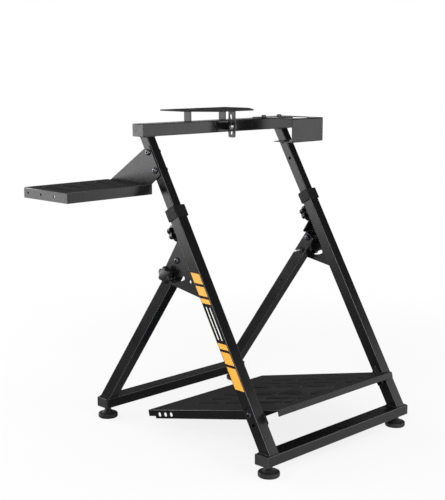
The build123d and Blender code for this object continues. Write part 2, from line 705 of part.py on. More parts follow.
def tilt_pivot(side):
    """Bolt through a plate ear and its tab, with a round head outside and a nut inside."""
    outer = EAR_X + EAR_T / 2 + SEAT_GAP
    inner = EAR_X - EAR_T / 2 - TAB_GAP - TAB_T
    bolt = cross_pin(TILT_BOLT_R, side * (inner - TILT_HEAD_H - TILT_TAIL), side * outer, TILT_Y, TILT_Z)
    bolt += cross_pin(TILT_HEAD_R, side * outer, side * (outer + TILT_HEAD_H), TILT_Y, TILT_Z)
    nut = hex_nut(2 * TILT_HEAD_R, TILT_HEAD_H, TILT_BOLT_R - NUT_OVERLAP)
    return bolt + Pos(side * inner, TILT_Y, TILT_Z) * Rot(0, -side * 90, 0) * nut


def tilt_strap():
    """Slotted strap under the front of the wheel plate that sets its tilt."""
    outline = Pos(STRAP_Y, STRAP_END_Z + STRAP_LENGTH / 2) * Rectangle(STRAP_W, STRAP_LENGTH)
    outline = fillet(outline.vertices().sort_by(Axis.Y)[:2], STRAP_W / 4)
    sweep = STRAP_SLOT_UP + STRAP_SLOT_DOWN
    arc = CenterArc((TILT_Y, TILT_Z), TILT_Y - STRAP_Y, 180 - STRAP_SLOT_UP, sweep)
    outline -= SlotArc(arc, 2 * (TILT_BOLT_R + SLOT_CLEARANCE))
    return yz_plate(outline, -EAR_T / 2, EAR_T / 2)


def tilt_tab():
    """Tab on the top tube's front face that the strap is clamped against."""
    start = EAR_T / 2 + TAB_GAP
    reach = TOP_TUBE_FRONT - STRAP_Y + TAB_END
    outline = Pos(TOP_TUBE_FRONT - reach / 2, TILT_Z) * Rectangle(reach, TAB_H)
    outline = fillet(outline.vertices().sort_by(Axis.X)[:2], TAB_END / 2)
    outline -= Pos(STRAP_Y, TILT_Z) * Circle(TILT_BOLT_R + RUNNING)
    return yz_plate(outline, start, start + TAB_T)


def tilt_bolt():
    """Clamp bolt with its washer, through the strap's slot and the front tab."""
    face = -EAR_T / 2 - SEAT_GAP
    tab_out = EAR_T / 2 + TAB_GAP + TAB_T
    washer_face = face - TILT_WASHER_T
    bolt = cross_pin(TILT_BOLT_R, face, tab_out + TILT_HEAD_H + TILT_TAIL, STRAP_Y, TILT_Z)
    bolt += cross_pin(TILT_WASHER_R, washer_face, face, STRAP_Y, TILT_Z)
    bolt += cross_pin(TILT_HEAD_R, washer_face - TILT_HEAD_H, washer_face, STRAP_Y, TILT_Z)
    nut = hex_nut(2 * TILT_HEAD_R, TILT_HEAD_H, TILT_BOLT_R - NUT_OVERLAP)
    return bolt + Pos(tab_out, STRAP_Y, TILT_Z) * Rot(0, 90, 0) * nut


def stand():
    """All the stand's pieces by name, in the work frame."""
    front = (BASE_TUBE_W, BASE_TUBE_H, FRONT_TUBE_LENGTH)
    rear = (BASE_TUBE_W, BASE_TUBE_H, REAR_TUBE_LENGTH)
    top = (TOP_TUBE_W, TOP_TUBE_H, TOP_TUBE_LENGTH)
    pieces = {
        "front_base_tube": cross_tube(*front, FRONT_Y, BASE_TUBE_Z),
        "rear_base_tube": cross_tube(*rear, REAR_Y, BASE_TUBE_Z),
        "top_cross_tube": cross_tube(*top, TOP_TUBE_Y, TOP_TUBE_Z),
        "pedal_plate": pedal_plate(),
        "shifter_tray": shifter_tray(),
        "shifter_web": shifter_web(),
        "cup_holder": cup_holder(),
        "wheel_plate": wheel_plate(),
        "tilt_strap": tilt_strap(),
        "tilt_tab": tilt_tab(),
        "tilt_bolt": tilt_bolt(),
    }
    for word, side in SIDES.items():
        pieces[f"front_{word}_plug"] = end_plug(side, *front, FRONT_Y, BASE_TUBE_Z)
        pieces[f"rear_{word}_plug"] = end_plug(side, *rear, REAR_Y, BASE_TUBE_Z)
        pieces[f"top_{word}_plug"] = end_plug(side, *top, TOP_TUBE_Y, TOP_TUBE_Z)
        pieces[f"front_{word}_foot"] = foot(side, FRONT_Y)
        pieces[f"rear_{word}_foot"] = foot(side, REAR_Y)
        pieces[f"{word}_outer_leg"] = outer_leg(side)
        pieces[f"{word}_inner_leg"] = inner_leg(side)
        pieces[f"{word}_collar"] = collar(side)
        pieces[f"{word}_gusset"] = gusset(side)
        pieces[f"{word}_strut"] = strut(side)
        pieces[f"{word}_pivot_bolt"] = pivot_bolt(side)
        pieces[f"{word}_angle_knob"] = angle_knob(side)
        pieces[f"{word}_height_knob"] = height_knob(side)
        pieces[f"{word}_pedal_bracket"] = pedal_bracket(side)
        pieces[f"{word}_plate_ear"] = plate_ear(side)
        pieces[f"{word}_hinge_tab"] = hinge_tab(side)
        pieces[f"{word}_tilt_pivot"] = tilt_pivot(side)
    return pieces


# The origin is on the floor, in the middle of the whole stand's box
PIECES = stand()
BOXES = [piece.bounding_box() for piece in PIECES.values()]
MIDDLE_X = (min(box.min.X for box in BOXES) + max(box.max.X for box in BOXES)) / 2
MIDDLE_Y = (min(box.min.Y for box in BOXES) + max(box.max.Y for box in BOXES)) / 2

os.makedirs("parts", exist_ok=True)
for node, piece in PIECES.items():
    export_step(Pos(-MIDDLE_X, -MIDDLE_Y, 0) * piece, f"parts/{node}.step")
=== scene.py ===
"""Dresses the racing wheel stand: its finishes, bolts, knobs, feet, welds and striped film."""

import json
import logging
import math
from dataclasses import dataclass, replace
from enum import Enum

import bmesh
import bpy
from bmesh.types import BMEdge, BMesh, BMFace, BMVert
from bpy.types import Material, Node, NodeSocket, NodeTree
from mathutils import Matrix, Vector


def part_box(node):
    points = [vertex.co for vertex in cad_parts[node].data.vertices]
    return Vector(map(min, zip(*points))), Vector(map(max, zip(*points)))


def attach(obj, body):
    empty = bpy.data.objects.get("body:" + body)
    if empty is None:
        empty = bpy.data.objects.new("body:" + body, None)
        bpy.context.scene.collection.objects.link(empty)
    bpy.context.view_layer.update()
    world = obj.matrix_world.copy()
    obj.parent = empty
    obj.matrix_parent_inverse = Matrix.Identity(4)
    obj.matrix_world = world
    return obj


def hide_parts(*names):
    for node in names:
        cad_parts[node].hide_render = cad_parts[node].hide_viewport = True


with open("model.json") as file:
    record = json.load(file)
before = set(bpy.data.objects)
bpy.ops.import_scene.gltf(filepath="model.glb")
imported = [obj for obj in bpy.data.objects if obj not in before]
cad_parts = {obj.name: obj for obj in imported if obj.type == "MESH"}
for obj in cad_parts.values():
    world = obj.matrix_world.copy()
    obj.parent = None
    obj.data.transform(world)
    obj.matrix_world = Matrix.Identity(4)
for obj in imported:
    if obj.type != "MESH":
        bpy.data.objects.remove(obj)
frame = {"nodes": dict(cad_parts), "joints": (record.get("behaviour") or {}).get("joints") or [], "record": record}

MM = 0.001
FULL_TURN = 2 * math.pi
QUARTER_TURN = math.pi / 2
HEX_CORNERS = 6
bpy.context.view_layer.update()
LOG = logging.getLogger("wheel_stand")

# Points closer than this are one, and facets flatter than this are one face
JOIN_REACH = 0.002 * MM
DOUBLES_REACH = 0.001 * MM
FLAT_ANGLE = math.radians(0.5)

# Edges sharper than these get a radius on a CAD piece, and a crease on a new one
ROUNDED_ANGLE = math.radians(40)
CREASE_ANGLE = math.radians(35)
EDGE_SEGMENTS = 2

# Socket numbers of a colour mix
MIX_A = 6
MIX_B = 7
MIX_RESULT = 2


class Side(Enum):
    """The two sides of the stand, seen from its front."""

    LEFT = "left"
    RIGHT = "right"

    @property
    def sign(self) -> int:
        """Direction of the side along X."""
        return -1 if self is Side.LEFT else 1

    @property
    def out(self) -> Vector:
        """Unit vector away from the stand's middle."""
        return Vector((self.sign, 0, 0))


class Slot(Enum):
    """Material slots of the part's record."""

    TUBE = "tube_steel"
    PLATE = "plate_steel"
    BOLT = "bolt_steel"
    PLASTIC = "moulded_plastic"
    RUBBER = "foot_rubber"


def linear(code: str) -> tuple[float, float, float, float]:
    """Turns an sRGB hex colour into linear RGBA.

    Args:
        code: Colour as six hex digits after a hash.

    Returns:
        Red, green, blue and alpha, linear.
    """
    shares = [int(code[i : i + 2], 16) / 255 for i in (1, 3, 5)]
    made = [c / 12.92 if c <= 0.04045 else ((c + 0.055) / 1.055) ** 2.4 for c in shares]
    return (*made, 1.0)


def add_node(
    tree: NodeTree,
    kind: str,
    settings: dict | None = None,
    values: dict | None = None,
    links: dict | None = None,
) -> Node:
    """Adds one shader node with its settings, socket values and links.

    Args:
        tree: Tree that gets the node.
        kind: Blender's name of the node's type.
        settings: Attributes of the node.
        values: Input values by socket name or number.
        links: Source sockets by input name or number.

    Returns:
        The new node.
    """
    node = tree.nodes.new(kind)
    for name, value in (settings or {}).items():
        setattr(node, name, value)
    for name, value in (values or {}).items():
        node.inputs[name].default_value = value
    for name, source in (links or {}).items():
        tree.links.new(source, node.inputs[name])
    return node


def per_metre(feature_mm: float) -> float:
    """Pattern scale that gives one feature in so many millimetres."""
    return 1 / (feature_mm * MM)


@dataclass(frozen=True)
class EdgeHighlightAndWear:
    """Painted highlight on a coated piece's rounded edges between its flat faces, as a lighter colour, and a top
    that use has made dull.

    The faces are unit normals, the first of them the top's. The level is the distance of
    the top plane along that normal, and None where the top isn't worn dull.
    """

    faces: tuple[Vector, ...]
    level: float | None = None
    # Colour of the painted highlight on the rounded edges
    highlight_colour: str = "#4A4A4C"
    highlight_share: tuple[float, float] = (0.78, 0.96)
    top_roughness: float = 0.74
    skin: float = 0.15 * MM

    # Share of the skin's depth at which the dullness is full
    FULL_DEPTH = 1 / 3

    def paint_edge_highlights(self, tree: NodeTree, colour: NodeSocket) -> NodeSocket:
        """Paints a highlight on the rounded edges, where the normal lies between two faces, by lightening their
        colour.

        Args:
            tree: The material's node tree.
            colour: Colour of the flat faces.

        Returns:
            The colour with its painted edge highlights.
        """
        normal = add_node(tree, "ShaderNodeTexCoord").outputs["Normal"]
        nearest = None
        for face in self.faces:
            along = add_node(
                tree, "ShaderNodeVectorMath", {"operation": "DOT_PRODUCT"}, {1: face}, {0: normal}
            )
            share = add_node(
                tree, "ShaderNodeMath", {"operation": "ABSOLUTE"}, links={0: along.outputs["Value"]}
            ).outputs[0]
            if nearest:
                share = add_node(
                    tree, "ShaderNodeMath", {"operation": "MAXIMUM"}, links={0: share, 1: nearest}
                ).outputs[0]
            nearest = share
        low, high = self.highlight_share
        edge = add_node(
            tree,
            "ShaderNodeMapRange",
            values={"From Min": low, "From Max": high, "To Min": 1.0, "To Max": 0.0},
            links={"Value": nearest},
        )
        highlighted = add_node(
            tree,
            "ShaderNodeMix",
            {"data_type": "RGBA"},
            {MIX_B: linear(self.highlight_colour)},
            {"Factor": edge.outputs["Result"], MIX_A: colour},
        )
        return highlighted.outputs[MIX_RESULT]

    def dull_top(self, tree: NodeTree, place: NodeSocket, rough: NodeSocket) -> NodeSocket:
        """Roughens the skin of the top plane.

        Args:
            tree: The material's node tree.
            place: Object coordinates.
            rough: Roughness of the other faces.

        Returns:
            The roughness with its dull top.
        """
        if self.level is None:
            return rough
        height = add_node(
            tree, "ShaderNodeVectorMath", {"operation": "DOT_PRODUCT"}, {1: self.faces[0]}, {0: place}
        )
        low = self.level - self.skin
        high = self.level - self.skin * self.FULL_DEPTH
        top = add_node(
            tree,
            "ShaderNodeMapRange",
            values={"From Min": low, "From Max": high},
            links={"Value": height.outputs["Value"]},
        )
        dull = add_node(
            tree,
            "ShaderNodeMix",
            values={"B": self.top_roughness},
            links={"Factor": top.outputs["Result"], "A": rough},
        )
        return dull.outputs["Result"]


@dataclass(frozen=True)
class Finish:
    """A surface finish: shader constants, a cloudy sheen and a fine relief.

    The colour wanders between two close tones, and the roughness with it, over
    cloud_mm. The relief is a noise of grain_mm with a depth of relief_mm.
    """

    name: str
    colour: str
    second_colour: str
    roughness: tuple[float, float]
    cloud_mm: float
    grain_mm: float
    relief_mm: float
    metallic: float = 0.0
    specular: float = 0.5
    coat: float = 0.0
    coat_roughness: float = 0.1
    # Painted edge highlights and a worn dull top, or None
    edge_highlight_and_wear: EdgeHighlightAndWear | None = None

    CLOUD_DETAIL = 4.0
    CLOUD_ROUGHNESS = 0.55
    CLOUD_SPAN = (0.3, 0.7)
    GRAIN_DETAIL = 3.0

    def material(self) -> Material:
        """Makes the finish's material, once.

        Returns:
            The node material with this finish's name.
        """
        known = bpy.data.materials.get(self.name)
        if known:
            return known
        made = bpy.data.materials.new(self.name)
        made.use_nodes = True
        tree = made.node_tree
        shader = tree.nodes["Principled BSDF"]
        constants = {
            "Metallic": self.metallic,
            "Specular IOR Level": self.specular,
            "Coat Weight": self.coat,
            "Coat Roughness": self.coat_roughness,
        }
        for name, value in constants.items():
            shader.inputs[name].default_value = value
        self.pattern(tree, shader)
        return made

    def pattern(self, tree: NodeTree, shader: Node) -> None:
        """Links the cloudy colour, the uneven sheen and the relief to the shader.

        Args:
            tree: The material's node tree.
            shader: Its principled shader.
        """
        place = add_node(tree, "ShaderNodeTexCoord").outputs["Object"]
        cloud = add_node(
            tree,
            "ShaderNodeTexNoise",
            values={
                "Scale": per_metre(self.cloud_mm),
                "Detail": self.CLOUD_DETAIL,
                "Roughness": self.CLOUD_ROUGHNESS,
            },
            links={"Vector": place},
        )
        tone = add_node(
            tree,
            "ShaderNodeMix",
            {"data_type": "RGBA"},
            {MIX_A: linear(self.colour), MIX_B: linear(self.second_colour)},
            {"Factor": cloud.outputs["Fac"]},
        )
        start, end = self.CLOUD_SPAN
        low, high = self.roughness
        sheen = add_node(
            tree,
            "ShaderNodeMapRange",
            values={"From Min": start, "From Max": end, "To Min": low, "To Max": high},
            links={"Value": cloud.outputs["Fac"]},
        )
        colour = tone.outputs[MIX_RESULT]
        rough = sheen.outputs["Result"]
        # Painted highlight on the rounded edges, as a lighter colour; the worn top only changes the roughness
        if self.edge_highlight_and_wear:
            colour = self.edge_highlight_and_wear.paint_edge_highlights(tree, colour)
            rough = self.edge_highlight_and_wear.dull_top(tree, place, rough)
        tree.links.new(colour, shader.inputs["Base Color"])
        tree.links.new(rough, shader.inputs["Roughness"])
        grain = add_node(
            tree,
            "ShaderNodeTexNoise",
            values={"Scale": per_metre(self.grain_mm), "Detail": self.GRAIN_DETAIL},
            links={"Vector": place},
        )
        relief = add_node(
            tree,
            "ShaderNodeBump",
            values={"Strength": 1.0, "Distance": self.relief_mm * MM},
            links={"Height": grain.outputs["Fac"]},
        )
        tree.links.new(relief.outputs["Normal"], shader.inputs["Normal"])


# Black polyester powder baked on drawn tube: a satin skin with a faint orange-peel
# ripple, drawn coarser than the real 1 mm so that it shows.
TUBE_COAT = Finish(
    name="powder_coated_tube",
    colour="#0E0E0F",
    second_colour="#131314",
    roughness=(0.21, 0.28),
    cloud_mm=70,
    grain_mm=2.2,
    relief_mm=0.008,
    specular=0.26,
)

# The same powder on cut and bent sheet, which shines a little more evenly.
SHEET_COAT = replace(
    TUBE_COAT,
    name="powder_coated_sheet",
    colour="#0F0F10",
    second_colour="#141415",
    roughness=(0.22, 0.30),
    cloud_mm=110,
    grain_mm=2.6,
)

# Fine-texture powder on the wheel plate: a dull, slightly sandy skin.
PLATE_COAT = Finish(
    name="fine_texture_powder",
    colour="#101011",
    second_colour="#161617",
    roughness=(0.56, 0.68),
    cloud_mm=60,
    grain_mm=1.4,
    relief_mm=0.10,
    specular=0.22,
)

# Zinc plate on turned steel: bright, slightly cloudy, with fine tool marks.
ZINC = Finish(
    name="zinc_plated_steel",
    colour="#C4C6C9",
    second_colour="#A9ABAE",
    roughness=(0.22, 0.36),
    cloud_mm=6,
    grain_mm=0.7,
    relief_mm=0.02,
    metallic=1.0,
)

# Black zinc on steel: dark metal with a soft gloss.
BLACK_ZINC = replace(
    ZINC,
    name="black_zinc_steel",
    colour="#545458",
    second_colour="#3C3C40",
    roughness=(0.17, 0.26),
)

# Nylon from a spark-eroded mould: an even fine grain with a dull sheen.
NYLON = Finish(
    name="moulded_nylon",
    colour="#121213",
    second_colour="#181818",
    roughness=(0.38, 0.48),
    cloud_mm=18,
    grain_mm=0.9,
    relief_mm=0.04,
    specular=0.55,
)

# Acetal of the guide collars: a deep, matt black that takes little light.
ACETAL = replace(
    NYLON,
    name="moulded_acetal",
    colour="#0C0C0D",
    second_colour="#111111",
    roughness=(0.44, 0.54),
    specular=0.16,
)

# Polished phenolic of the knobs: smooth and glossier than the nylon.
PHENOLIC = Finish(
    name="polished_phenolic",
    colour="#101011",
    second_colour="#151515",
    roughness=(0.30, 0.38),
    cloud_mm=22,
    grain_mm=1.6,
    relief_mm=0.015,
    specular=0.34,
)

# Moulded rubber: duller than the nylon, with a dusty bloom.
RUBBER = Finish(
    name="moulded_rubber",
    colour="#111112",
    second_colour="#1B1B1B",
    roughness=(0.50, 0.64),
    cloud_mm=14,
    grain_mm=0.8,
    relief_mm=0.05,
    specular=0.35,
)

# Cast vinyl film: flat printed colour under a thin clear layer.
ORANGE_FILM = Finish(
    name="orange_vinyl_film",
    colour="#F0A52A",
    second_colour="#F3AD3A",
    roughness=(0.28, 0.36),
    cloud_mm=40,
    grain_mm=1.2,
    relief_mm=0.008,
    coat=0.35,
)
WHITE_FILM = replace(
    ORANGE_FILM, name="white_vinyl_film", colour="#ECECE8", second_colour="#F4F4F1"
)

ACROSS = Vector((1, 0, 0))
REARWARD = Vector((0, 1, 0))
UP = Vector((0, 0, 1))


def joint(name: str) -> dict:
    """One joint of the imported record, by name."""
    return next(entry for entry in frame["joints"] if entry["name"] == name)


def mount(name: str) -> dict:
    """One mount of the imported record, by name."""
    return next(entry for entry in frame["record"]["mounts"] if entry["name"] == name)


def edge_highlit_tube_coat(name: str, *faces: Vector) -> Finish:
    """Tube coat with a painted highlight on the edges between the given faces."""
    return replace(TUBE_COAT, name=name, edge_highlight_and_wear=EdgeHighlightAndWear(faces))


def dull_top_edge_highlit_coat(name: str, plane: str, specular: float) -> Finish:
    """Sheet coat of a deck, with a painted highlight on its edges and a top that use has made dull.

    Args:
        name: Name of the finish.
        plane: Mount on the deck's top plane.
        specular: Level of its mirror-like share.

    Returns:
        The finish with its painted edge highlights and dull top.
    """
    top = mount(plane)
    up = Vector(top["axis"])
    edge_highlight_and_wear = EdgeHighlightAndWear((up, ACROSS, up.cross(ACROSS)), Vector(top["pos_m"]).dot(up))
    return replace(SHEET_COAT, name=name, edge_highlight_and_wear=edge_highlight_and_wear, specular=specular)


def middle_of(node: str) -> Vector:
    """Middle of a node's box."""
    low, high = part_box(node)
    return (low + high) / 2


def at_x(x: float, point: Vector) -> Vector:
    """A point moved across the stand to the given X."""
    return Vector((x, point.y, point.z))


def outer_x(node: str, side: Side) -> float:
    """X of the end of a node's box that lies away from the stand's middle."""
    low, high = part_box(node)
    return high.x if side is Side.RIGHT else low.x


def inner_x(node: str, side: Side) -> float:
    """X of the end of a node's box that lies towards the stand's middle."""
    low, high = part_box(node)
    return low.x if side is Side.RIGHT else high.x


@dataclass(frozen=True)
class LegLine:
    """Axis of one leg: its foot on the base tube, its direction and the way behind it."""

    foot: Vector
    along: Vector
    behind: Vector
    half: float

    @classmethod
    def of(cls, side: Side) -> "LegLine":
        """Reads the axis of one outer leg from the frame.

        Args:
            side: Side of the stand.

        Returns:
            The leg's axis and half its width.
        """
        low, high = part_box(f"{side.value}_outer_leg")
        base = middle_of("front_base_tube")
        foot = Vector(((low.x + high.x) / 2, base.y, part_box("front_base_tube")[1].z))
        along = Vector(joint("height_slide")["axis"])
        return cls(foot, along, Vector((0, along.z, -along.y)), (high.x - low.x) / 2)

    def back_reach(self, z: float) -> float:
        """Distance along the leg at which its back face has the height z."""
        return (z - self.foot.z + self.half * self.along.y) / self.along.z

    def on_back(self, reach: float, x: float) -> Vector:
        """Point on the leg's back face, at a distance along the leg and an X."""
        return at_x(x, self.foot + self.along * reach + self.behind * self.half)


def coat(finish: Finish, edge: float, *nodes: str) -> None:
    """Gives CAD pieces that keep their shape a finish, whole faces and rounded edges.

    Args:
        finish: Their finish.
        edge: Radius of the edges, or 0 for edges that are round already.
        nodes: Names of the nodes.
    """
    for name in nodes:
        piece = frame["nodes"][name]
        piece.data.materials.clear()
        piece.data.materials.append(finish.material())
        joined = piece.modifiers.new("joined facets", "WELD")
        joined.merge_threshold = JOIN_REACH
        if edge:
            whole = piece.modifiers.new("whole faces", "DECIMATE")
            whole.decimate_type = "DISSOLVE"
            whole.angle_limit = FLAT_ANGLE
            rounded = piece.modifiers.new("rounded edges", "BEVEL")
            rounded.width = edge
            rounded.segments = EDGE_SEGMENTS
            rounded.limit_method = "ANGLE"
            rounded.angle_limit = ROUNDED_ANGLE
            rounded.harden_normals = True
        LOG.info("node %s gets %s", name, finish.name)


def placed(point: Vector, axis: Vector) -> Matrix:
    """Matrix that puts a shape's origin on a point and turns its +Z along an axis."""
    turn = Vector(axis).normalized().to_track_quat("Z", "Y")
    return Matrix.Translation(point) @ turn.to_matrix().to_4x4()


def finish_mesh(
    bm: BMesh,
    name: str,
    body: str,
    finish: Finish,
    where: Matrix,
    replaced: str | None = None,
) -> None:
    """Turns a bmesh into a piece that rides on a body.

    Args:
        bm: The shape, freed here.
        name: The piece's name.
        body: CAD body that carries it.
        finish: Its finish.
        where: Place of the shape, put into its mesh.
        replaced: CAD node that the piece stands for.
    """
    bmesh.ops.transform(bm, matrix=where, verts=bm.verts)
    bmesh.ops.recalc_face_normals(bm, faces=bm.faces)
    mesh = bpy.data.meshes.new(name)
    bm.to_mesh(mesh)
    bm.free()
    mesh.materials.append(finish.material())
    mesh.shade_smooth()
    mesh.set_sharp_from_angle(angle=CREASE_ANGLE)
    piece = bpy.data.objects.new(name, mesh)
    bpy.context.scene.collection.objects.link(piece)
    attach(piece, body)
    if replaced:
        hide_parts(replaced)
    LOG.info("piece %s rides on %s", name, body)


def bevel(bm: BMesh, edges: list[BMEdge], offset: float, segments: int) -> None:
    """Rounds edges of a shape.

    Args:
        bm: The shape.
        edges: Edges to round.
        offset: Width of the rounding on each side of an edge.
        segments: Facets across the rounding.
    """
    bmesh.ops.bevel(
        bm,
        geom=edges,
        offset=offset,
        offset_type="OFFSET",
        segments=segments,
        profile=0.5,
        affect="EDGES",
        clamp_overlap=True,
        material=-1,
    )


def only(kind: type, parts: list) -> list:
    """Members of one kind among the parts that an operator made."""
    return [part for part in parts if isinstance(part, kind)]


def ring(bm: BMesh, corners: int, radius: float, height: float) -> list[BMEdge]:
    """Adds a level ring round the Z axis.

    Args:
        bm: The shape.
        corners: Number of corners.
        radius: Distance of the corners from the axis.
        height: Level of the ring.

    Returns:
        The ring's edges.
    """
    where = Matrix.Translation((0, 0, height))
    verts = bmesh.ops.create_circle(bm, segments=corners, radius=radius, matrix=where)["verts"]
    return list({edge for vert in verts for edge in vert.link_edges})


def raise_cap(bm: BMesh, cap: BMFace, height: float, scale: float = 1.0) -> BMFace:
    """Extrudes a level face upwards and scales it about the Z axis.

    Args:
        bm: The shape.
        cap: Face to extrude.
        height: How far it rises.
        scale: Factor on its X and Y.

    Returns:
        The moved face.
    """
    made = bmesh.ops.extrude_face_region(bm, geom=[cap])["geom"]
    verts = only(BMVert, made)
    bmesh.ops.translate(bm, verts=verts, vec=(0, 0, height))
    bmesh.ops.scale(bm, verts=verts, vec=(scale, scale, 1))
    return only(BMFace, made)[0]


def turned(profile: list[tuple[float, float]], steps: int = 48) -> BMesh:
    """Spins a half section about Z.

    Args:
        profile: Radius and height of each corner, in metres.
        steps: Divisions of the full turn.

    Returns:
        The turned shape.
    """
    bm = bmesh.new()
    verts = [bm.verts.new((radius, 0, height)) for radius, height in profile]
    edges = [bm.edges.new(pair) for pair in zip(verts, verts[1:])]
    bmesh.ops.spin(
        bm,
        geom=verts + edges,
        axis=(0, 0, 1),
        cent=(0, 0, 0),
        angle=FULL_TURN,
        steps=steps,
        use_merge=True,
    )
    bmesh.ops.remove_doubles(bm, verts=bm.verts, dist=DOUBLES_REACH)
    return bm


def merge(bm: BMesh, other: BMesh, height: float = 0.0) -> None:
    """Adds another shape to a bmesh.

    Args:
        bm: The shape that grows.
        other: The shape that is added, freed here.
        height: How far the other shape is lifted along Z.
    """
    bmesh.ops.translate(other, verts=other.verts, vec=(0, 0, height))
    spare = bpy.data.meshes.new("spare")
    other.to_mesh(spare)
    other.free()
    bm.from_mesh(spare)
    bpy.data.meshes.remove(spare)


@dataclass(frozen=True)
class Thread:
    """Metric thread on a rod along Z, from height 0 upwards."""

    radius: float
    length: float
    pitch: float

    # Shares of the pitch: depth of the thread, bevel of the end, overlap with the rod, and
    # heights of the ridge's root, crest and root again
    DEPTH = 0.55
    END = 0.5
    OVERLAP = 0.1
    RIDGE = (0.0, 0.4, 0.55, 0.95)
    STEPS = 20
    ROD_STEPS = 24

    def build(self) -> BMesh:
        """Makes the core rod and the helical ridge round it.

        Returns:
            The threaded rod.
        """
        core = self.radius - self.DEPTH * self.pitch
        end = self.END * self.pitch
        top = self.length - end
        profile = [(0, 0), (core, 0), (core, top), (core - end, self.length), (0, self.length)]
        rod = turned(profile, self.ROD_STEPS)
        turns = int((self.length - self.pitch) / self.pitch)
        inside = core - self.OVERLAP * self.pitch
        flank = zip((inside, self.radius, self.radius, inside), self.RIDGE)
        ridge = bmesh.new()
        verts = [ridge.verts.new((radius, 0, share * self.pitch)) for radius, share in flank]
        edges = [ridge.edges.new(pair) for pair in zip(verts, verts[1:] + verts[:1])]
        bmesh.ops.spin(
            ridge,
            geom=verts + edges,
            axis=(0, 0, 1),
            cent=(0, 0, 0),
            dvec=(0, 0, self.pitch / self.STEPS),
            angle=turns * FULL_TURN,
            steps=turns * self.STEPS,
        )
        bmesh.ops.holes_fill(ridge, edges=ridge.edges)
        merge(rod, ridge)
        return rod


@dataclass(frozen=True)
class HexNut:
    """Hexagonal nut along Z with bevelled corners and a bore."""

    flats: float
    height: float
    bore: float

    BEVEL_SHARE = 0.07
    BORE_STEPS = 24

    def build(self) -> BMesh:
        """Bridges the bore's rings to the hexagon's and bevels the rims.

        Returns:
            The nut, standing on height 0.
        """
        bm = bmesh.new()
        corner = self.flats / math.sqrt(3)
        rims = []
        for level in (0.0, self.height):
            outer = ring(bm, HEX_CORNERS, corner, level)
            inner = ring(bm, self.BORE_STEPS, self.bore, level)
            bmesh.ops.bridge_loops(bm, edges=outer + inner)
            rims.append((outer, inner))
        for low, high in zip(*rims):
            bmesh.ops.bridge_loops(bm, edges=low + high)
        bevel(bm, rims[0][0] + rims[1][0], self.BEVEL_SHARE * self.flats, EDGE_SEGMENTS)
        return bm


@dataclass(frozen=True)
class SocketHead:
    """Button head along Z with a hexagon socket, standing on height 0."""

    radius: float
    height: float
    socket: float

    RIM_STEPS = 36
    DOME_STEPS = 6
    FLAT_SHARE = 0.55
    DOME_SHARE = 0.82
    SOCKET_SHARE = 0.6

    def build(self) -> BMesh:
        """Bridges the socket to the head's flat and draws the dome down from it.

        Returns:
            The head.
        """
        bm = bmesh.new()
        flat = self.FLAT_SHARE * self.radius
        rim = ring(bm, self.RIM_STEPS, flat, self.height)
        mouth = ring(bm, HEX_CORNERS, self.socket / math.sqrt(3), self.height)
        bmesh.ops.bridge_loops(bm, edges=rim + mouth)
        made = bmesh.ops.extrude_edge_only(bm, edges=mouth)["geom"]
        depth = self.SOCKET_SHARE * self.height
        bmesh.ops.translate(bm, verts=only(BMVert, made), vec=(0, 0, -depth))
        bmesh.ops.contextual_create(bm, geom=only(BMEdge, made))
        reached = flat
        for step in range(1, self.DOME_STEPS + 1):
            turn = QUARTER_TURN * step / self.DOME_STEPS
            wanted = flat + (self.radius - flat) * math.sin(turn)
            fall = self.DOME_SHARE * self.height * (1 - math.cos(turn))
            rim = self.lower_rim(bm, rim, self.height - fall, wanted / reached)
            reached = wanted
        rim = self.lower_rim(bm, rim, 0.0, 1.0)
        bmesh.ops.contextual_create(bm, geom=rim)
        return bm

    def lower_rim(self, bm: BMesh, rim: list[BMEdge], level: float, scale: float) -> list[BMEdge]:
        """Extrudes a rim to a lower level.

        Args:
            bm: The shape.
            rim: Edges of the rim.
            level: Height of the new rim.
            scale: Its size against the old one.

        Returns:
            Edges of the new rim.
        """
        made = bmesh.ops.extrude_edge_only(bm, edges=rim)["geom"]
        verts = only(BMVert, made)
        fall = level - verts[0].co.z
        bmesh.ops.translate(bm, verts=verts, vec=(0, 0, fall))
        bmesh.ops.scale(bm, verts=verts, vec=(scale, scale, 1))
        return only(BMEdge, made)


def washer(radius: float, bore: float, thickness: float, softness: float = 0.2) -> BMesh:
    """Makes a flat washer along Z, with softened rims.

    Args:
        radius: Outer radius.
        bore: Radius of the hole.
        thickness: Height of the washer.
        softness: Share of the height that each rim's bevel takes.

    Returns:
        The washer, standing on height 0.
    """
    soft = softness * thickness
    rim = [(radius - soft, 0), (radius, soft), (radius, thickness - soft), (radius - soft, thickness)]
    return turned([(bore, 0), *rim, (bore, thickness), (bore, 0)])


@dataclass(frozen=True)
class BoltSize:
    """Sizes of a button-head bolt with its washer and nut; a washer of 0 means none."""

    thread: float
    pitch: float
    head: float
    head_height: float
    socket: float
    nut_flats: float
    nut_height: float
    tail: float
    washer: float = 0.0
    washer_height: float = 0.0


M8_BARE = BoltSize(
    thread=4.0 * MM,
    pitch=1.25 * MM,
    head=7.5 * MM,
    head_height=4.8 * MM,
    socket=5.0 * MM,
    nut_flats=13.0 * MM,
    nut_height=6.5 * MM,
    tail=3.5 * MM,
)
M8_LOW = replace(
    M8_BARE,
    head=6.4 * MM,
    head_height=3.4 * MM,
    socket=4.5 * MM,
    washer=7.4 * MM,
    washer_height=1.0 * MM,
)
M6_PIVOT = BoltSize(
    thread=3.0 * MM,
    pitch=1.0 * MM,
    head=5.4 * MM,
    head_height=3.4 * MM,
    socket=4.0 * MM,
    nut_flats=10.0 * MM,
    nut_height=5.0 * MM,
    tail=2.5 * MM,
    washer=6.2 * MM,
    washer_height=1.2 * MM,
)
M6_CLAMP = replace(M6_PIVOT, washer=8.0 * MM)


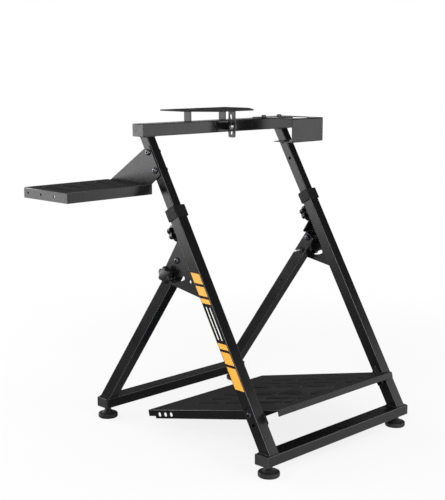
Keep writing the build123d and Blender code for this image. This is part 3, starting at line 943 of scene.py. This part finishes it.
@dataclass
class ThroughBolt:
    """Button-head bolt on a bright shank, with a nut on its threaded end.

    The seat is where the head or its washer lies, the axis points out of the head, and
    the grip is the distance from the seat to the nut's seat.
    """

    name: str
    body: str
    seat: Vector
    axis: Vector
    grip: float
    size: BoltSize
    finish: Finish
    with_nut: bool = True
    replaced: str | None = None

    SHANK_STEPS = 32

    def build(self) -> None:
        """Makes the head with its washer, the shank, and the nut with the thread through it."""
        size = self.size
        out = placed(self.seat, self.axis)
        head = SocketHead(size.head, size.head_height, size.socket).build()
        bmesh.ops.translate(head, verts=head.verts, vec=(0, 0, size.washer_height))
        if size.washer:
            merge(head, washer(size.washer, size.thread, size.washer_height))
        finish_mesh(head, f"{self.name}_head", self.body, self.finish, out, self.replaced)
        inward = placed(self.seat, -self.axis)
        profile = [(0, 0), (size.thread, 0), (size.thread, self.grip), (0, self.grip)]
        shank = turned(profile, self.SHANK_STEPS)
        finish_mesh(shank, f"{self.name}_shank", self.body, ZINC, inward)
        if self.with_nut:
            back = placed(self.seat - self.axis * self.grip, -self.axis)
            nut = HexNut(size.nut_flats, size.nut_height, size.thread).build()
            merge(nut, Thread(size.thread, size.nut_height + size.tail, size.pitch).build())
            finish_mesh(nut, f"{self.name}_nut", self.body, self.finish, back)


@dataclass
class StarKnob:
    """Lobed clamping knob with a hub, a domed face and a threaded shank."""

    node: str
    shank: float
    radius: float = 21.0 * MM
    valley: float = 5.5 * MM
    side_height: float = 9.5 * MM
    crown: float = 4.0 * MM
    face: float = 12.0 * MM
    dome: float = 1.5 * MM
    hub: float = 9.5 * MM
    hub_height: float = 8.0 * MM
    under_edge: float = 1.4 * MM
    seat_gap: float = 0.3 * MM
    thread: float = 4.0 * MM
    pitch: float = 1.25 * MM
    lobes: int = 6
    lobe_power: float = 1.5
    hub_flare: float = 1.08

    SEGMENTS = 144
    UNDER_SEGMENTS = 3
    CROWN_STEPS = 7
    DOME_STEPS = 5

    def outline(self, cap: BMFace, roundness: float) -> None:
        """Moves the corners of a face onto the lobed outline.

        Args:
            cap: Face on the knob's axis.
            roundness: 0 for the full lobes, 1 for the round face.
        """
        for vert in cap.verts:
            turn = math.atan2(vert.co.y, vert.co.x)
            wave = 0.5 + 0.5 * math.cos(self.lobes * turn)
            star = self.radius - self.valley * wave**self.lobe_power
            reach = star + (self.face - star) * roundness
            length = math.hypot(vert.co.x, vert.co.y)
            vert.co.x *= reach / length
            vert.co.y *= reach / length

    def moulding(self) -> BMesh:
        """Raises the hub, the lobes and the domed face from one round face.

        Returns:
            The knob's moulded body, standing on height 0.
        """
        bm = bmesh.new()
        bmesh.ops.create_circle(bm, cap_ends=True, segments=self.SEGMENTS, radius=self.hub)
        cap = raise_cap(bm, bm.faces[:][0], self.hub_height, self.hub_flare)
        cap = raise_cap(bm, cap, 0.0)
        self.outline(cap, 0.0)
        under = list(cap.edges)
        cap = raise_cap(bm, cap, self.side_height)
        risen = 0.0
        for step in range(1, self.CROWN_STEPS + 1):
            turn = QUARTER_TURN * step / self.CROWN_STEPS
            level = self.crown * math.sin(turn)
            cap = raise_cap(bm, cap, level - risen)
            self.outline(cap, 1 - math.cos(turn))
            risen = level
        risen = 0.0
        reached = 1.0
        for step in range(1, self.DOME_STEPS + 1):
            share = 1 - step / (self.DOME_STEPS + 1)
            level = self.dome * (1 - share**2)
            cap = raise_cap(bm, cap, level - risen, share / reached)
            risen = level
            reached = share
        bevel(bm, [edge for edge in under if edge.is_valid], self.under_edge, self.UNDER_SEGMENTS)
        return bm

    def build(self) -> None:
        """Makes the moulded knob and its threaded shank, on the axis that the knob turns about."""
        turn = joint(f"{self.node}_turn")
        seat = Vector(turn["pos_m"])
        axis = Vector(turn["axis"])
        out = placed(seat + axis * self.seat_gap, axis)
        name = self.node.replace("knob", "star_knob")
        finish_mesh(self.moulding(), name, self.node, PHENOLIC, out, self.node)
        rod = Thread(self.thread, self.shank, self.pitch).build()
        inward = placed(seat, -axis)
        finish_mesh(rod, f"{self.node}_shank", self.node, ZINC, inward)


@dataclass
class LevellingFoot:
    """Levelling foot: a moulded pad with a rubber sole on a threaded stem with its lock nut."""

    node: str
    body: str
    radius: float = 25.0 * MM
    pad_height: float = 11.0 * MM
    hub: float = 15.0 * MM
    hub_height: float = 13.0 * MM
    neck: float = 7.5 * MM
    neck_height: float = 21.0 * MM
    neck_flare: float = 1.2 * MM
    neck_lip: float = 2.0 * MM
    stem: float = 5.0 * MM
    pitch: float = 1.5 * MM
    nut_flats: float = 16.0 * MM
    nut_height: float = 5.0 * MM
    sole: float = 2.6 * MM
    sole_inset: float = 0.8 * MM
    soft: float = 2.6 * MM

    RIM_STEPS = 5
    PAD_STEPS = 64

    def pad(self) -> BMesh:
        """Turns the pad with its inset sole, its rounded shoulder and the conical hub.

        Returns:
            The pad, standing on height 0.
        """
        inset = self.radius - self.sole_inset
        turns = [QUARTER_TURN * step / self.RIM_STEPS for step in range(self.RIM_STEPS + 1)]
        shoulder = [
            (
                self.radius - self.soft * (1 - math.cos(turn)),
                self.pad_height - self.soft * (1 - math.sin(turn)),
            )
            for turn in turns
        ]
        profile = [
            (0, 0),
            (inset - self.sole_inset, 0),
            (inset, self.sole_inset),
            (inset, self.sole),
            (self.radius, self.sole),
            *shoulder,
            (self.hub + 2 * self.sole_inset, self.pad_height + self.sole_inset),
            (self.hub, self.hub_height),
            (self.neck + self.neck_flare, self.neck_height - self.neck_lip),
            (self.neck, self.neck_height),
            (0, self.neck_height),
        ]
        return turned(profile, self.PAD_STEPS)

    def build(self) -> None:
        """Makes the pad, the stem and the lock nut."""
        low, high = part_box(self.node)
        middle = middle_of(self.node)
        ground = Matrix.Translation((middle.x, middle.y, low.z))
        finish_mesh(self.pad(), f"{self.node}_pad", self.body, RUBBER, ground, self.node)
        rise = high.z - low.z - self.neck_height
        stem = Thread(self.stem, rise, self.pitch).build()
        nut = HexNut(self.nut_flats, self.nut_height, self.stem).build()
        merge(stem, nut, rise - self.nut_height)
        raised = ground @ Matrix.Translation((0, 0, self.neck_height))
        finish_mesh(stem, f"{self.node}_stem", self.body, BLACK_ZINC, raised)


@dataclass
class WeldBead:
    """Rippled fillet weld along a straight seam, under the powder coat."""

    name: str
    body: str
    start: Vector
    end: Vector
    radius: float = 1.7 * MM
    ripple: float = 2.4 * MM
    depth: float = 0.16
    tip: float = 0.6

    SIDES = 10
    LEAST_RIPPLES = 3
    STEPS_PER_RIPPLE = 4

    def build(self) -> None:
        """Extrudes a ring along the seam, swelling and shrinking with each ripple."""
        run = self.end - self.start
        ripples = max(self.LEAST_RIPPLES, round(run.length / self.ripple))
        steps = ripples * self.STEPS_PER_RIPPLE
        bm = bmesh.new()
        bmesh.ops.create_circle(bm, cap_ends=True, segments=self.SIDES, radius=self.tip * self.radius)
        cap = bm.faces[:][0]
        reached = self.tip
        for step in range(1, steps + 1):
            wave = math.cos(FULL_TURN * step / self.STEPS_PER_RIPPLE)
            wanted = self.tip if step == steps else 1.0 + self.depth * wave
            cap = raise_cap(bm, cap, run.length / steps, wanted / reached)
            reached = wanted
        finish_mesh(bm, self.name, self.body, TUBE_COAT, placed(self.start, run))


def ring_welds(name: str, body: str, centre: Vector, half_x: float, half_y: float) -> None:
    """Welds round the level end of a square tube.

    Args:
        name: Start of the beads' names.
        body: CAD body that carries them.
        centre: Middle of the tube's end.
        half_x: Half of the end across the stand.
        half_y: Half of the end front to rear.
    """
    ways = ((-1, -1), (1, -1), (1, 1), (-1, 1))
    corners = [centre + Vector((x * half_x, y * half_y, 0)) for x, y in ways]
    for number, (start, end) in enumerate(zip(corners, corners[1:] + corners[:1]), 1):
        WeldBead(f"{name}_weld_{number}", body, start, end).build()


def stitch_welds(name: str, body: str, start: Vector, end: Vector, count: int, length: float) -> None:
    """Short welds spread evenly along a seam.

    Args:
        name: Start of the beads' names.
        body: CAD body that carries them.
        start: One end of the seam.
        end: Its other end.
        count: Number of beads.
        length: Length of each bead.
    """
    way = (end - start).normalized()
    step = (end - start).length / count
    for number in range(count):
        middle = start + way * step * (number + 0.5)
        half = way * length / 2
        WeldBead(f"{name}_stitch_{number + 1}", body, middle - half, middle + half).build()


@dataclass
class StripeFilm:
    """Thin vinyl film on the left outer leg: slanted orange bars and white pinstripes."""

    leg: LegLine
    face_x: float
    width: float = 24.0 * MM
    thickness: float = 0.15 * MM
    slant: float = 0.6
    pinstripe: float = 1.25 * MM
    pin_reach: float = 5.0 * MM

    # Start and end of each bar along the leg, in millimetres
    ORANGE_BARS = ((150, 204), (211, 241), (248, 262), (360, 372), (379, 403), (410, 436))
    WHITE_RUN = (271, 351)

    def bar(self, run_mm: tuple[float, float], low: float, high: float) -> BMesh:
        """One slanted bar, in distance along the leg and across its face.

        Args:
            run_mm: Lower and upper end along the leg, in millimetres.
            low: Front edge across the leg.
            high: Rear edge across the leg.

        Returns:
            The bar, flat on local XY, with its thickness in Z.
        """
        start, end = (value * MM for value in run_mm)
        bm = bmesh.new()
        bmesh.ops.create_grid(bm, x_segments=1, y_segments=1, size=0.5)
        bmesh.ops.scale(bm, verts=bm.verts, vec=(end - start, high - low, 1))
        bmesh.ops.translate(bm, verts=bm.verts, vec=((start + end) / 2, (low + high) / 2, 0))
        shear = Matrix.Identity(4)
        shear[0][1] = self.slant
        bmesh.ops.transform(bm, matrix=shear, verts=bm.verts)
        raise_cap(bm, bm.faces[:][0], self.thickness)
        return bm

    def build(self) -> None:
        """Lays the orange bars and the white pinstripes on the leg's outer face."""
        half = self.width / 2
        out = Side.LEFT.out
        axes = Matrix((self.leg.along, out.cross(self.leg.along), out)).transposed()
        where = Matrix.Translation(at_x(self.face_x, self.leg.foot)) @ axes.to_4x4()
        bars = bmesh.new()
        for run in self.ORANGE_BARS:
            merge(bars, self.bar(run, -half, half))
        finish_mesh(bars, "orange_stripes", "main_frame", ORANGE_FILM, where)
        pins = bmesh.new()
        for way in (-1, 1):
            middle = way * self.pin_reach
            merge(pins, self.bar(self.WHITE_RUN, middle - self.pinstripe, middle + self.pinstripe))
        finish_mesh(pins, "white_pinstripes", "main_frame", WHITE_FILM, where)


@dataclass
class BaseFrame:
    """Front and rear base tubes with their end plugs and the four levelling feet."""

    plug_edge: float = 0.5 * MM

    def build(self) -> None:
        """Dresses the tubes and plugs and makes the feet."""
        # Coat with a painted highlight on the cross tubes' edges
        finish = edge_highlit_tube_coat("powder_cross_tube_painted_edge_highlights", UP, REARWARD)
        for end, body in (("front", "main_frame"), ("rear", "strut_frame")):
            coat(finish, 0.0, f"{end}_base_tube")
            for side in Side:
                coat(NYLON, self.plug_edge, f"{end}_{side.value}_plug")
                LevellingFoot(f"{end}_{side.value}_foot", body).build()


@dataclass
class Legs:
    """Telescopic legs with their collars, height knobs, welds and the striped film."""

    collar_edge: float = 0.5 * MM
    knob_shank: float = 2.5 * MM

    def build(self) -> None:
        """Dresses the legs and adds their hardware."""
        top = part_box("top_cross_tube")[0].z
        for side in Side:
            word = side.value
            leg = LegLine.of(side)
            # Coat with a painted highlight on the legs' edges
            finish = edge_highlit_tube_coat("powder_legs_painted_edge_highlights", ACROSS, leg.behind)
            coat(finish, 0.0, f"{word}_outer_leg", f"{word}_inner_leg")
            coat(ACETAL, self.collar_edge, f"{word}_collar")
            StarKnob(f"{word}_height_knob", self.knob_shank).build()
            slant = 1 / leg.along.z
            ring_welds(f"{word}_leg", "main_frame", leg.foot, leg.half, leg.half * slant)
            low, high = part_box(f"{word}_inner_leg")
            half = (high.x - low.x) / 2
            head = Vector((leg.foot.x, middle_of("top_cross_tube").y, top))
            ring_welds(f"{word}_inner_leg", "upper_frame", head, half, half * slant)
        StripeFilm(LegLine.of(Side.LEFT), outer_x("left_outer_leg", Side.LEFT)).build()


@dataclass
class FoldingStruts:
    """Rear struts, the gussets that they fold on, their pivot bolts and angle knobs."""

    edge: float = 0.45 * MM
    strut_half: float = 15.0 * MM
    welded_nut: float = 6.5 * MM
    knob_depth: float = 23.0 * MM
    stitches: int = 3
    stitch: float = 24.0 * MM
    seam_end: float = 6.0 * MM
    gusset_sheet: float = 3.0 * MM

    def build(self) -> None:
        """Dresses both sides and adds their hardware."""
        # Coat with a painted highlight on the struts' edges
        finish = edge_highlit_tube_coat("powder_struts_painted_edge_highlights", ACROSS, ACROSS.cross(self.strut_run()))
        for side in Side:
            coat(SHEET_COAT, self.edge, f"{side.value}_gusset")
            coat(finish, 0.0, f"{side.value}_strut")
            self.pivot(side)
            self.knob(side)
            self.welds(side)

    def strut_run(self) -> Vector:
        """Unit vector down along the struts, from the pivot to the rear base tube."""
        pivot = Vector(joint("strut_fold")["pos_m"])
        foot = middle_of("rear_base_tube")
        return Vector((0, foot.y - pivot.y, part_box("rear_base_tube")[1].z - pivot.z)).normalized()

    def pivot(self, side: Side) -> None:
        """Pivot bolt through a gusset and its strut.

        Args:
            side: Side of the stand.
        """
        pivot = Vector(joint("strut_fold")["pos_m"])
        face = outer_x(f"{side.value}_gusset", side)
        nut_seat = inner_x(f"{side.value}_strut", side) + side.sign * self.welded_nut
        node = f"{side.value}_pivot_bolt"
        seat = at_x(face, pivot)
        grip = abs(face - nut_seat)
        ThroughBolt(node, "main_frame", seat, side.out, grip, M8_BARE, BLACK_ZINC, replaced=node).build()

    def knob(self, side: Side) -> None:
        """Star knob that clamps the fold angle.

        Args:
            side: Side of the stand.
        """
        node = f"{side.value}_angle_knob"
        low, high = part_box(node)
        StarKnob(node, high.x - low.x - self.knob_depth).build()

    def welds(self, side: Side) -> None:
        """Welds round the strut's foot, along the gusset's seam and on its lip.

        Args:
            side: Side of the stand.
        """
        word = side.value
        half = self.strut_half
        rear = middle_of("rear_base_tube")
        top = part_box("rear_base_tube")[1].z
        foot = Vector((outer_x(f"{word}_strut", side) - side.sign * half, rear.y, top))
        ring_welds(f"{word}_strut", "strut_frame", foot, half, -half / self.strut_run().z)
        leg = LegLine.of(side)
        low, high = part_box(f"{word}_gusset")
        face = outer_x(f"{word}_gusset", side)
        lip = leg.back_reach(high.z)
        seam = face - side.sign * self.gusset_sheet
        start = leg.on_back(leg.back_reach(low.z) + self.seam_end, seam)
        end = leg.on_back(lip - self.seam_end, seam)
        stitch_welds(f"{word}_gusset", "main_frame", start, end, self.stitches, self.stitch)
        start = leg.on_back(lip, inner_x(f"{word}_gusset", side) + side.sign * self.seam_end)
        end = leg.on_back(lip, face - side.sign * self.seam_end)
        WeldBead(f"{word}_lip_weld", "main_frame", start, end).build()


@dataclass
class WheelMount:
    """Top tube with its plugs, and the wheel plate on its tilting hinge."""

    edge: float = 0.45 * MM
    plug_edge: float = 0.5 * MM
    seat_gap: float = 0.3 * MM
    bead: float = 1.3 * MM
    seam_end: float = 2.0 * MM

    def build(self) -> None:
        """Dresses the tube, the plate and its hinge and adds bolts and welds."""
        # Coat with a painted highlight on the top tube's edges
        coat(edge_highlit_tube_coat("powder_cross_tube_painted_edge_highlights", UP, REARWARD), 0.0, "top_cross_tube")
        coat(PLATE_COAT, self.edge, "wheel_plate")
        coat(SHEET_COAT, self.edge, "tilt_strap", "tilt_tab")
        pivot = Vector(joint("wheel_tilt")["pos_m"])
        for side in Side:
            word = side.value
            coat(NYLON, self.plug_edge, f"top_{word}_plug")
            coat(SHEET_COAT, self.edge, f"{word}_plate_ear", f"{word}_hinge_tab")
            face = outer_x(f"{word}_plate_ear", side)
            grip = abs(face - inner_x(f"{word}_hinge_tab", side))
            self.bolt(f"{word}_tilt_pivot", at_x(face, pivot), side, grip, M6_PIVOT, BLACK_ZINC)
            self.plate_welds(f"{word}_plate_ear")
            self.tab_welds(f"{word}_hinge_tab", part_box("top_cross_tube")[1].y)
        strap = outer_x("tilt_strap", Side.LEFT)
        grip = inner_x("tilt_tab", Side.LEFT) - strap
        self.bolt("tilt_bolt", at_x(strap, middle_of("tilt_bolt")), Side.LEFT, grip, M6_CLAMP, ZINC)
        self.plate_welds("tilt_strap")
        self.tab_welds("tilt_tab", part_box("top_cross_tube")[0].y)

    def bolt(
        self, node: str, face: Vector, side: Side, grip: float, size: BoltSize, finish: Finish
    ) -> None:
        """One bolt of the hinge, in the place of its CAD node.

        Args:
            node: CAD node that it stands for.
            face: Centre of the hole, on the face under the head.
            side: Side of the stand that the head points to.
            grip: Thickness that it holds.
            size: The bolt's sizes.
            finish: The bolt's finish.
        """
        seat = face + side.out * self.seat_gap
        grip += self.seat_gap
        ThroughBolt(node, "upper_frame", seat, side.out, grip, size, finish, replaced=node).build()

    def plate_welds(self, node: str) -> None:
        """Welds on both sides of an upright under the wheel plate.

        Args:
            node: The upright's node.
        """
        low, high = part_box(node)
        for number, x in enumerate((low.x, high.x), 1):
            start = Vector((x, low.y + self.seam_end, high.z))
            end = Vector((x, high.y - self.seam_end, high.z))
            WeldBead(f"{node}_weld_{number}", "wheel_mount", start, end, self.bead).build()

    def tab_welds(self, node: str, y: float) -> None:
        """Welds on both sides of a tab on the top tube.

        Args:
            node: The tab's node.
            y: Face of the tube that it stands on.
        """
        low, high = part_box(node)
        for number, x in enumerate((low.x, high.x), 1):
            start = Vector((x, y, low.z + self.seam_end))
            end = Vector((x, y, high.z - self.seam_end))
            WeldBead(f"{node}_weld_{number}", "upper_frame", start, end, self.bead).build()


@dataclass
class PedalDeck:
    """Sloping pedal deck on its brackets, with a bolt through each leg."""

    edge: float = 0.9 * MM
    specular: float = 0.15
    bolt_from_middle: float = 12.25 * MM
    thread_end: float = 1.0 * MM

    def build(self) -> None:
        """Dresses the deck and its brackets and adds the bolts."""
        # Deck coat with painted edge highlights and a top dulled by feet
        coat(dull_top_edge_highlit_coat("powder_pedal_deck_dull_top_painted_edge_highlights", "pedal_deck", self.specular), self.edge, "pedal_plate")
        for side in Side:
            node = f"{side.value}_pedal_bracket"
            coat(SHEET_COAT, self.edge, node)
            face = outer_x(f"{side.value}_outer_leg", side)
            grip = abs(face - inner_x(node, side)) - self.thread_end
            middle = middle_of(node) + LegLine.of(side).along * self.bolt_from_middle
            seat = at_x(face, middle)
            name = f"{side.value}_pedal_bolt"
            ThroughBolt(name, "main_frame", seat, side.out, grip, M8_LOW, BLACK_ZINC, False).build()


@dataclass
class ShifterTray:
    """Shifter tray and the web that carries it on the left inner leg."""

    edge: float = 0.9 * MM
    specular: float = 0.25
    stitches: int = 3
    stitch: float = 18.0 * MM

    def build(self) -> None:
        """Dresses the tray and its web and adds the bolts and welds."""
        # Tray coat with painted edge highlights and a dull top
        coat(dull_top_edge_highlit_coat("powder_tray_dull_top_painted_edge_highlights", "tray_top", self.specular), self.edge, "shifter_tray")
        coat(SHEET_COAT, self.edge, "shifter_web")
        holes = mount("spare_leg_holes")
        middle = Vector(holes["pos_m"])
        pitch = holes["dims"]["pcd_mm"] * MM
        face = outer_x("shifter_web", Side.LEFT)
        grip = inner_x("left_inner_leg", Side.LEFT) - face
        along = LegLine.of(Side.LEFT).along
        for number, way in enumerate((-0.5, 0.5), 1):
            seat = at_x(face, middle) + along * way * pitch
            name = f"tray_bolt_{number}"
            ThroughBolt(name, "upper_frame", seat, Side.LEFT.out, grip, M8_BARE, BLACK_ZINC).build()
        low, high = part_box("shifter_tray")
        rear = min(high.y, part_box("shifter_web")[1].y)
        start = Vector((face, low.y, high.z))
        end = Vector((face, rear, high.z))
        stitch_welds("tray", "upper_frame", start, end, self.stitches, self.stitch)


@dataclass
class CupHolder:
    """Bent cup holder with its two bolts into the top tube."""

    edge: float = 0.45 * MM
    bolt_reach: float = 30.0 * MM
    bolt_grip: float = 8.0 * MM

    def build(self) -> None:
        """Dresses the holder and adds its bolts."""
        coat(SHEET_COAT, self.edge, "cup_holder")
        cup = Vector(mount("cup_hole")["pos_m"])
        y = middle_of("top_cross_tube").y
        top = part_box("cup_holder")[1].z
        for number, way in enumerate((-1, 1), 1):
            seat = Vector((cup.x + way * self.bolt_reach, y, top))
            name = f"cup_bolt_{number}"
            ThroughBolt(name, "upper_frame", seat, UP, self.bolt_grip, M8_LOW, BLACK_ZINC, False).build()


@dataclass(frozen=True)
class Lamp:
    """One square soft lamp that faces the stand's middle."""

    name: str
    at: tuple[float, float, float]
    size: float
    power: float

    AIM = Vector((0.0, 0.0, 0.45))

    def build(self) -> None:
        """Places the lamp."""
        light = bpy.data.lights.new(self.name, "AREA")
        light.shape = "SQUARE"
        light.size = self.size
        light.energy = self.power
        lamp = bpy.data.objects.new(self.name, light)
        bpy.context.scene.collection.objects.link(lamp)
        lamp.location = self.at
        lamp.rotation_euler = (self.AIM - Vector(self.at)).to_track_quat("-Z", "Y").to_euler()


@dataclass(frozen=True)
class FloorSheen:
    """Side of the floor that shows bright in the coat's reflections.

    Attributes:
        heading: Direction from the middle of the floor.
        near: Distance along it where the brightness starts.
        full: Distance along it where the brightness is full.
        until: Distance along it where the brightness starts to fade.
        gone: Distance along it where the brightness has gone.
        level: Full brightness, 1 for white.
    """

    heading: tuple[float, float, float]
    near: float
    full: float
    until: float
    gone: float
    level: float

    def shown(self, tree: NodeTree, place: NodeSocket) -> NodeSocket:
        """Adds the brightness over the floor.

        Args:
            tree: Node tree of the floor's paint.
            place: Object coordinates.

        Returns:
            Socket with the brightness.
        """
        along = add_node(
            tree, "ShaderNodeVectorMath", {"operation": "DOT_PRODUCT"}, {1: self.heading}, {0: place}
        )
        rise = add_node(
            tree,
            "ShaderNodeMapRange",
            values={"From Min": self.near, "From Max": self.full, "To Max": self.level},
            links={"Value": along.outputs["Value"]},
        )
        fall = add_node(
            tree,
            "ShaderNodeMapRange",
            values={"From Min": self.until, "From Max": self.gone, "To Min": 1.0, "To Max": 0.0},
            links={"Value": along.outputs["Value"]},
        )
        both = add_node(
            tree,
            "ShaderNodeMath",
            {"operation": "MULTIPLY"},
            links={0: rise.outputs["Result"], 1: fall.outputs["Result"]},
        )
        return both.outputs[0]


@dataclass
class Studio:
    """Pale floor, white background, soft lamps and the photograph's camera."""

    image_width: int = 445
    image_height: int = 500
    focal_pixels: float = 1050.12
    centre_pixel: tuple[float, float] = (221.914, 245.634)
    sensor_mm: float = 36.0
    camera_at: tuple[float, float, float] = (-1.75715, -1.7765, 0.9000)
    camera_target: tuple[float, float, float] = (0.11135, 0.1010, 0.4427)
    floor_radius: float = 9.0
    floor_colour: str = "#F2F2F2"
    floor_roughness: float = 0.9
    floor_specular: float = 0.1
    clear_from: float = 0.75
    clear_to: float = 1.9
    floor_glow: float = 0.82
    dim_floor: float = 0.10

    # Front, front left and rear right: a black coat shows its form by what it mirrors
    sheens: tuple[FloorSheen, ...] = (
        FloorSheen((0, -1, 0), 0.08, 0.36, 9.0, 10.0, 1.0),
        FloorSheen((-0.6, -0.8, 0), 0.35, 0.9, 9.0, 10.0, 1.0),
        FloorSheen((0.8, 0.6, 0), 0.55, 1.2, 2.2, 3.2, 0.7),
    )

    world_light: float = 0.5
    ceiling_light: float = 0.03
    ceiling_from: float = 0.02
    ceiling_to: float = 0.28
    zenith_light: float = 1.6
    zenith_from: float = 0.70
    zenith_to: float = 0.93
    lamps: tuple[Lamp, ...] = (
        Lamp("left_softbox", (-1.8, 1.75, 0.65), 1.2, 22),
        Lamp("front_softbox", (1.9, -1.9, 0.65), 1.2, 11),
        Lamp("camera_panel", (-2.4, -1.9, 1.85), 1.2, 50),
        Lamp("rear_softbox", (-0.6, 2.5, 0.62), 1.2, 34),
        Lamp("fill_softbox", (0.2, -2.6, 0.62), 1.2, 34),
    )

    FLOOR_STEPS = 96

    def camera(self) -> None:
        """Places the camera at the photograph's viewing angle."""
        lens = bpy.data.cameras.new("photo_view")
        across, down = self.centre_pixel
        lens.sensor_width = self.sensor_mm
        lens.lens = self.focal_pixels / self.image_height * self.sensor_mm
        lens.shift_x = (self.image_width / 2 - across) / self.image_height
        lens.shift_y = (down - self.image_height / 2) / self.image_height
        seen = bpy.data.objects.new("photo_view", lens)
        bpy.context.scene.collection.objects.link(seen)
        seen.location = self.camera_at
        look = Vector(self.camera_target) - Vector(self.camera_at)
        seen.rotation_euler = look.to_track_quat("-Z", "Y").to_euler()
        bpy.context.scene.camera = seen

    def seen_rays(self, tree: NodeTree) -> NodeSocket:
        """Adds a switch for camera, glossy and transmission rays to a tree.

        Args:
            tree: Node tree of the floor or the world.

        Returns:
            Socket that is 1 for those rays.
        """
        path = add_node(tree, "ShaderNodeLightPath")
        seen = path.outputs["Is Camera Ray"]
        for kind in ("Is Glossy Ray", "Is Transmission Ray"):
            seen = add_node(
                tree, "ShaderNodeMath", {"operation": "MAXIMUM"}, links={0: seen, 1: path.outputs[kind]}
            ).outputs[0]
        return seen

    def world(self) -> None:
        """White background for the camera, and a dark ceiling with a bright middle in reflections."""
        world = bpy.data.worlds.new("white_studio")
        bpy.context.scene.world = world
        world.use_nodes = True
        tree = world.node_tree
        shade = tree.nodes["Background"]
        shade.inputs["Color"].default_value = (1, 1, 1, 1)
        place = add_node(tree, "ShaderNodeTexCoord")
        way = add_node(tree, "ShaderNodeSeparateXYZ", links={0: place.outputs["Generated"]})
        path = add_node(tree, "ShaderNodeLightPath")
        white = path.outputs["Is Camera Ray"]
        ceiling = (self.ceiling_from, self.ceiling_to, 1.0, self.ceiling_light)
        zenith = (self.zenith_from, self.zenith_to, 0.0, self.zenith_light)
        for start, end, low, high in (ceiling, zenith):
            band = add_node(
                tree,
                "ShaderNodeMapRange",
                {"interpolation_type": "SMOOTHSTEP"},
                {"From Min": start, "From Max": end, "To Min": low, "To Max": high},
                {"Value": way.outputs["Z"]},
            )
            white = add_node(
                tree,
                "ShaderNodeMath",
                {"operation": "MAXIMUM"},
                links={0: white, 1: band.outputs["Result"]},
            ).outputs[0]
        strength = add_node(
            tree,
            "ShaderNodeMix",
            values={"A": self.world_light},
            links={"Factor": self.seen_rays(tree), "B": white},
        )
        tree.links.new(strength.outputs["Result"], shade.inputs["Strength"])

    def floor(self) -> None:
        """Pale floor that fades into the white background, dimmer in reflections."""
        bm = bmesh.new()
        bmesh.ops.create_circle(
            bm, cap_ends=True, segments=self.FLOOR_STEPS, radius=self.floor_radius
        )
        mesh = bpy.data.meshes.new("studio_floor")
        bm.to_mesh(mesh)
        bm.free()
        made = bpy.data.materials.new("pale_matt_paint")
        made.use_nodes = True
        tree = made.node_tree
        shader = tree.nodes["Principled BSDF"]
        shader.inputs["Base Color"].default_value = linear(self.floor_colour)
        shader.inputs["Roughness"].default_value = self.floor_roughness
        shader.inputs["Specular IOR Level"].default_value = self.floor_specular
        place = add_node(tree, "ShaderNodeTexCoord").outputs["Object"]
        reach = add_node(tree, "ShaderNodeVectorMath", {"operation": "LENGTH"}, links={0: place})
        fade = add_node(
            tree,
            "ShaderNodeMapRange",
            {"interpolation_type": "SMOOTHSTEP"},
            {"From Min": self.clear_from, "From Max": self.clear_to, "To Min": self.floor_glow},
            {"Value": reach.outputs["Value"]},
        )
        share = add_node(
            tree,
            "ShaderNodeMath",
            {"operation": "MULTIPLY"},
            links={0: fade.outputs["Result"], 1: self.seen_rays(tree)},
        )
        path = add_node(tree, "ShaderNodeLightPath")
        strength = add_node(
            tree,
            "ShaderNodeMath",
            {"operation": "MAXIMUM"},
            {1: self.dim_floor},
            {0: path.outputs["Is Camera Ray"]},
        )
        for sheen in self.sheens:
            strength = add_node(
                tree,
                "ShaderNodeMath",
                {"operation": "MAXIMUM"},
                links={0: strength.outputs[0], 1: sheen.shown(tree, place)},
            )
        glow = add_node(
            tree,
            "ShaderNodeEmission",
            values={"Color": (1, 1, 1, 1)},
            links={"Strength": strength.outputs[0]},
        )
        blend = add_node(
            tree,
            "ShaderNodeMixShader",
            links={0: share.outputs[0], 1: shader.outputs[0], 2: glow.outputs[0]},
        )
        tree.links.new(blend.outputs[0], tree.nodes["Material Output"].inputs["Surface"])
        mesh.materials.append(made)
        ground = bpy.data.objects.new("studio_floor", mesh)
        bpy.context.scene.collection.objects.link(ground)

    def build(self) -> None:
        """Sets up the camera, the white world, the floor and the lamps."""
        bpy.context.scene.view_settings.view_transform = "Standard"
        self.camera()
        self.world()
        self.floor()
        for lamp in self.lamps:
            lamp.build()


def main() -> None:
    """Builds the stand's sub-assemblies and the studio."""
    logging.basicConfig(level=logging.INFO, format="%(name)s: %(message)s")
    parts = (
        BaseFrame(),
        Legs(),
        FoldingStruts(),
        WheelMount(),
        PedalDeck(),
        ShifterTray(),
        CupHolder(),
        Studio(),
    )
    for part in parts:
        LOG.info("building %s", type(part).__name__)
        part.build()


if __name__ == "__main__":
    main()
